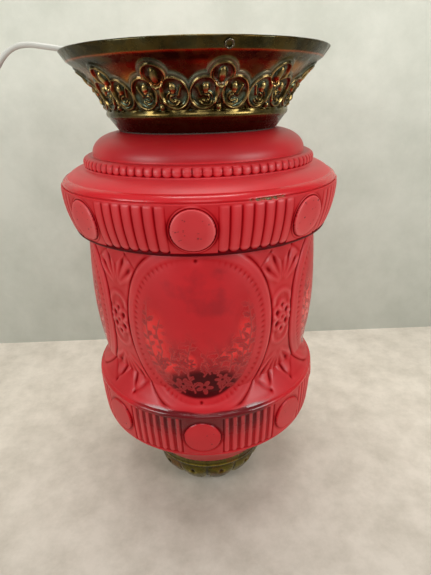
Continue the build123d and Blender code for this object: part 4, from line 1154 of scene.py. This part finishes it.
def grey_plaster():
    """Mottled plaster with painted shade at its foot and top, clear when seen from behind."""
    s = Shader("grey_plaster", Roughness=0.85)
    mottle = s.ramp(s.noise(12.0, 6.0, 0.65), (0.34, srgb(218, 222, 209)), (0.64, srgb(234, 237, 225)))
    # Painted shade at the foot and top of the wall
    height = s.math("MULTIPLY", s.along("Z"), 0.9)
    rise = s.ramp(height, (0.0, 0.68), (0.375, 1.0), (0.6, 1.0), (0.95, 0.7))
    s.to(s.mix(1.0, mottle, rise, "MULTIPLY"), "Base Color")
    s.bump(s.noise(80.0, 4.0), 0.15, 0.0008)
    open_back = s.node("ShaderNodeMixShader")
    s.link(s.node("ShaderNodeNewGeometry").outputs["Backfacing"], open_back.inputs[0])
    s.link(s.surface.outputs[0], open_back.inputs[1])
    s.link(s.node("ShaderNodeBsdfTransparent").outputs[0], open_back.inputs[2])
    s.link(open_back.outputs[0], s.tree.nodes["Material Output"].inputs["Surface"])
    return s.material


stage_sheet(
    "table",
    [(-SPREAD, -SPREAD, FLOOR), (SPREAD, -SPREAD, FLOOR), (SPREAD, SPREAD, FLOOR), (-SPREAD, SPREAD, FLOOR)],
    pale_stone(),
)
stage_sheet(
    "wall",
    [(-SPREAD, BACK, FLOOR), (SPREAD, BACK, FLOOR), (SPREAD, BACK, WALL_TOP), (-SPREAD, BACK, WALL_TOP)],
    grey_plaster(),
)


# Light and camera, in metres

AIM = (0, 0, 0.3)
NEAR_WHITE = (1.0, 0.99, 0.97)


def room_light(low, high, strength):
    """A world that brightens from the horizon to straight above."""
    world = bpy.data.worlds.new("room")
    world.use_nodes = True
    sky = world.node_tree
    way = sky.nodes.new("ShaderNodeSeparateXYZ")
    gradient = sky.nodes.new("ShaderNodeValToRGB")
    sky.links.new(sky.nodes.new("ShaderNodeTexCoord").outputs["Generated"], way.inputs["Vector"])
    sky.links.new(way.outputs["Z"], gradient.inputs["Fac"])
    gradient.color_ramp.elements[0].color = low
    gradient.color_ramp.elements[1].color = high
    sky.links.new(gradient.outputs["Color"], sky.nodes["Background"].inputs["Color"])
    sky.nodes["Background"].inputs["Strength"].default_value = strength
    scene.world = world


def lamp(name, place, aim, size, power, colour):
    data = bpy.data.lights.new(name, "AREA")
    data.energy, data.size, data.color = power, size, colour
    made = bpy.data.objects.new(name, data)
    made.location = place
    made.rotation_euler = (Vector(aim) - Vector(place)).to_track_quat("-Z", "Y").to_euler()
    scene.collection.objects.link(made)


room_light((0.24, 0.245, 0.24, 1), (1.0, 0.99, 0.96, 1), 0.45)
lamp("top", (0.02, 0.06, 1.45), (0, 0.06, 0.1), 0.7, 13, (1.0, 0.985, 0.955))
lamp("front", (0.0, -0.65, 0.6), AIM, 0.3, 0.6, NEAR_WHITE)
lamp("left", (-0.55, -0.45, 0.45), AIM, 0.3, 2.2, NEAR_WHITE)
lamp("right", (0.55, -0.45, 0.45), AIM, 0.3, 2.5, NEAR_WHITE)

SENSOR = 36.0
FOCAL_PIXELS, PICTURE_PIXELS = 432, 575
camera = bpy.data.cameras.new("camera")
camera.sensor_width = SENSOR
camera.lens = FOCAL_PIXELS / PICTURE_PIXELS * SENSOR
camera.clip_start = 0.01
eye = bpy.data.objects.new("camera", camera)
# Columns: the camera's right, up and back, and its place
eye.matrix_world = Matrix(
    (
        (0.99897213, 0.03638659, -0.02703133, 0.0),
        (-0.03942431, 0.40315861, -0.91428052, -0.38919),
        (-0.02236963, 0.91440645, 0.40417873, 0.382),
        (0, 0, 0, 1),
    )
)
scene.collection.objects.link(eye)
scene.camera = eye
scene.view_settings.view_transform = "Standard"
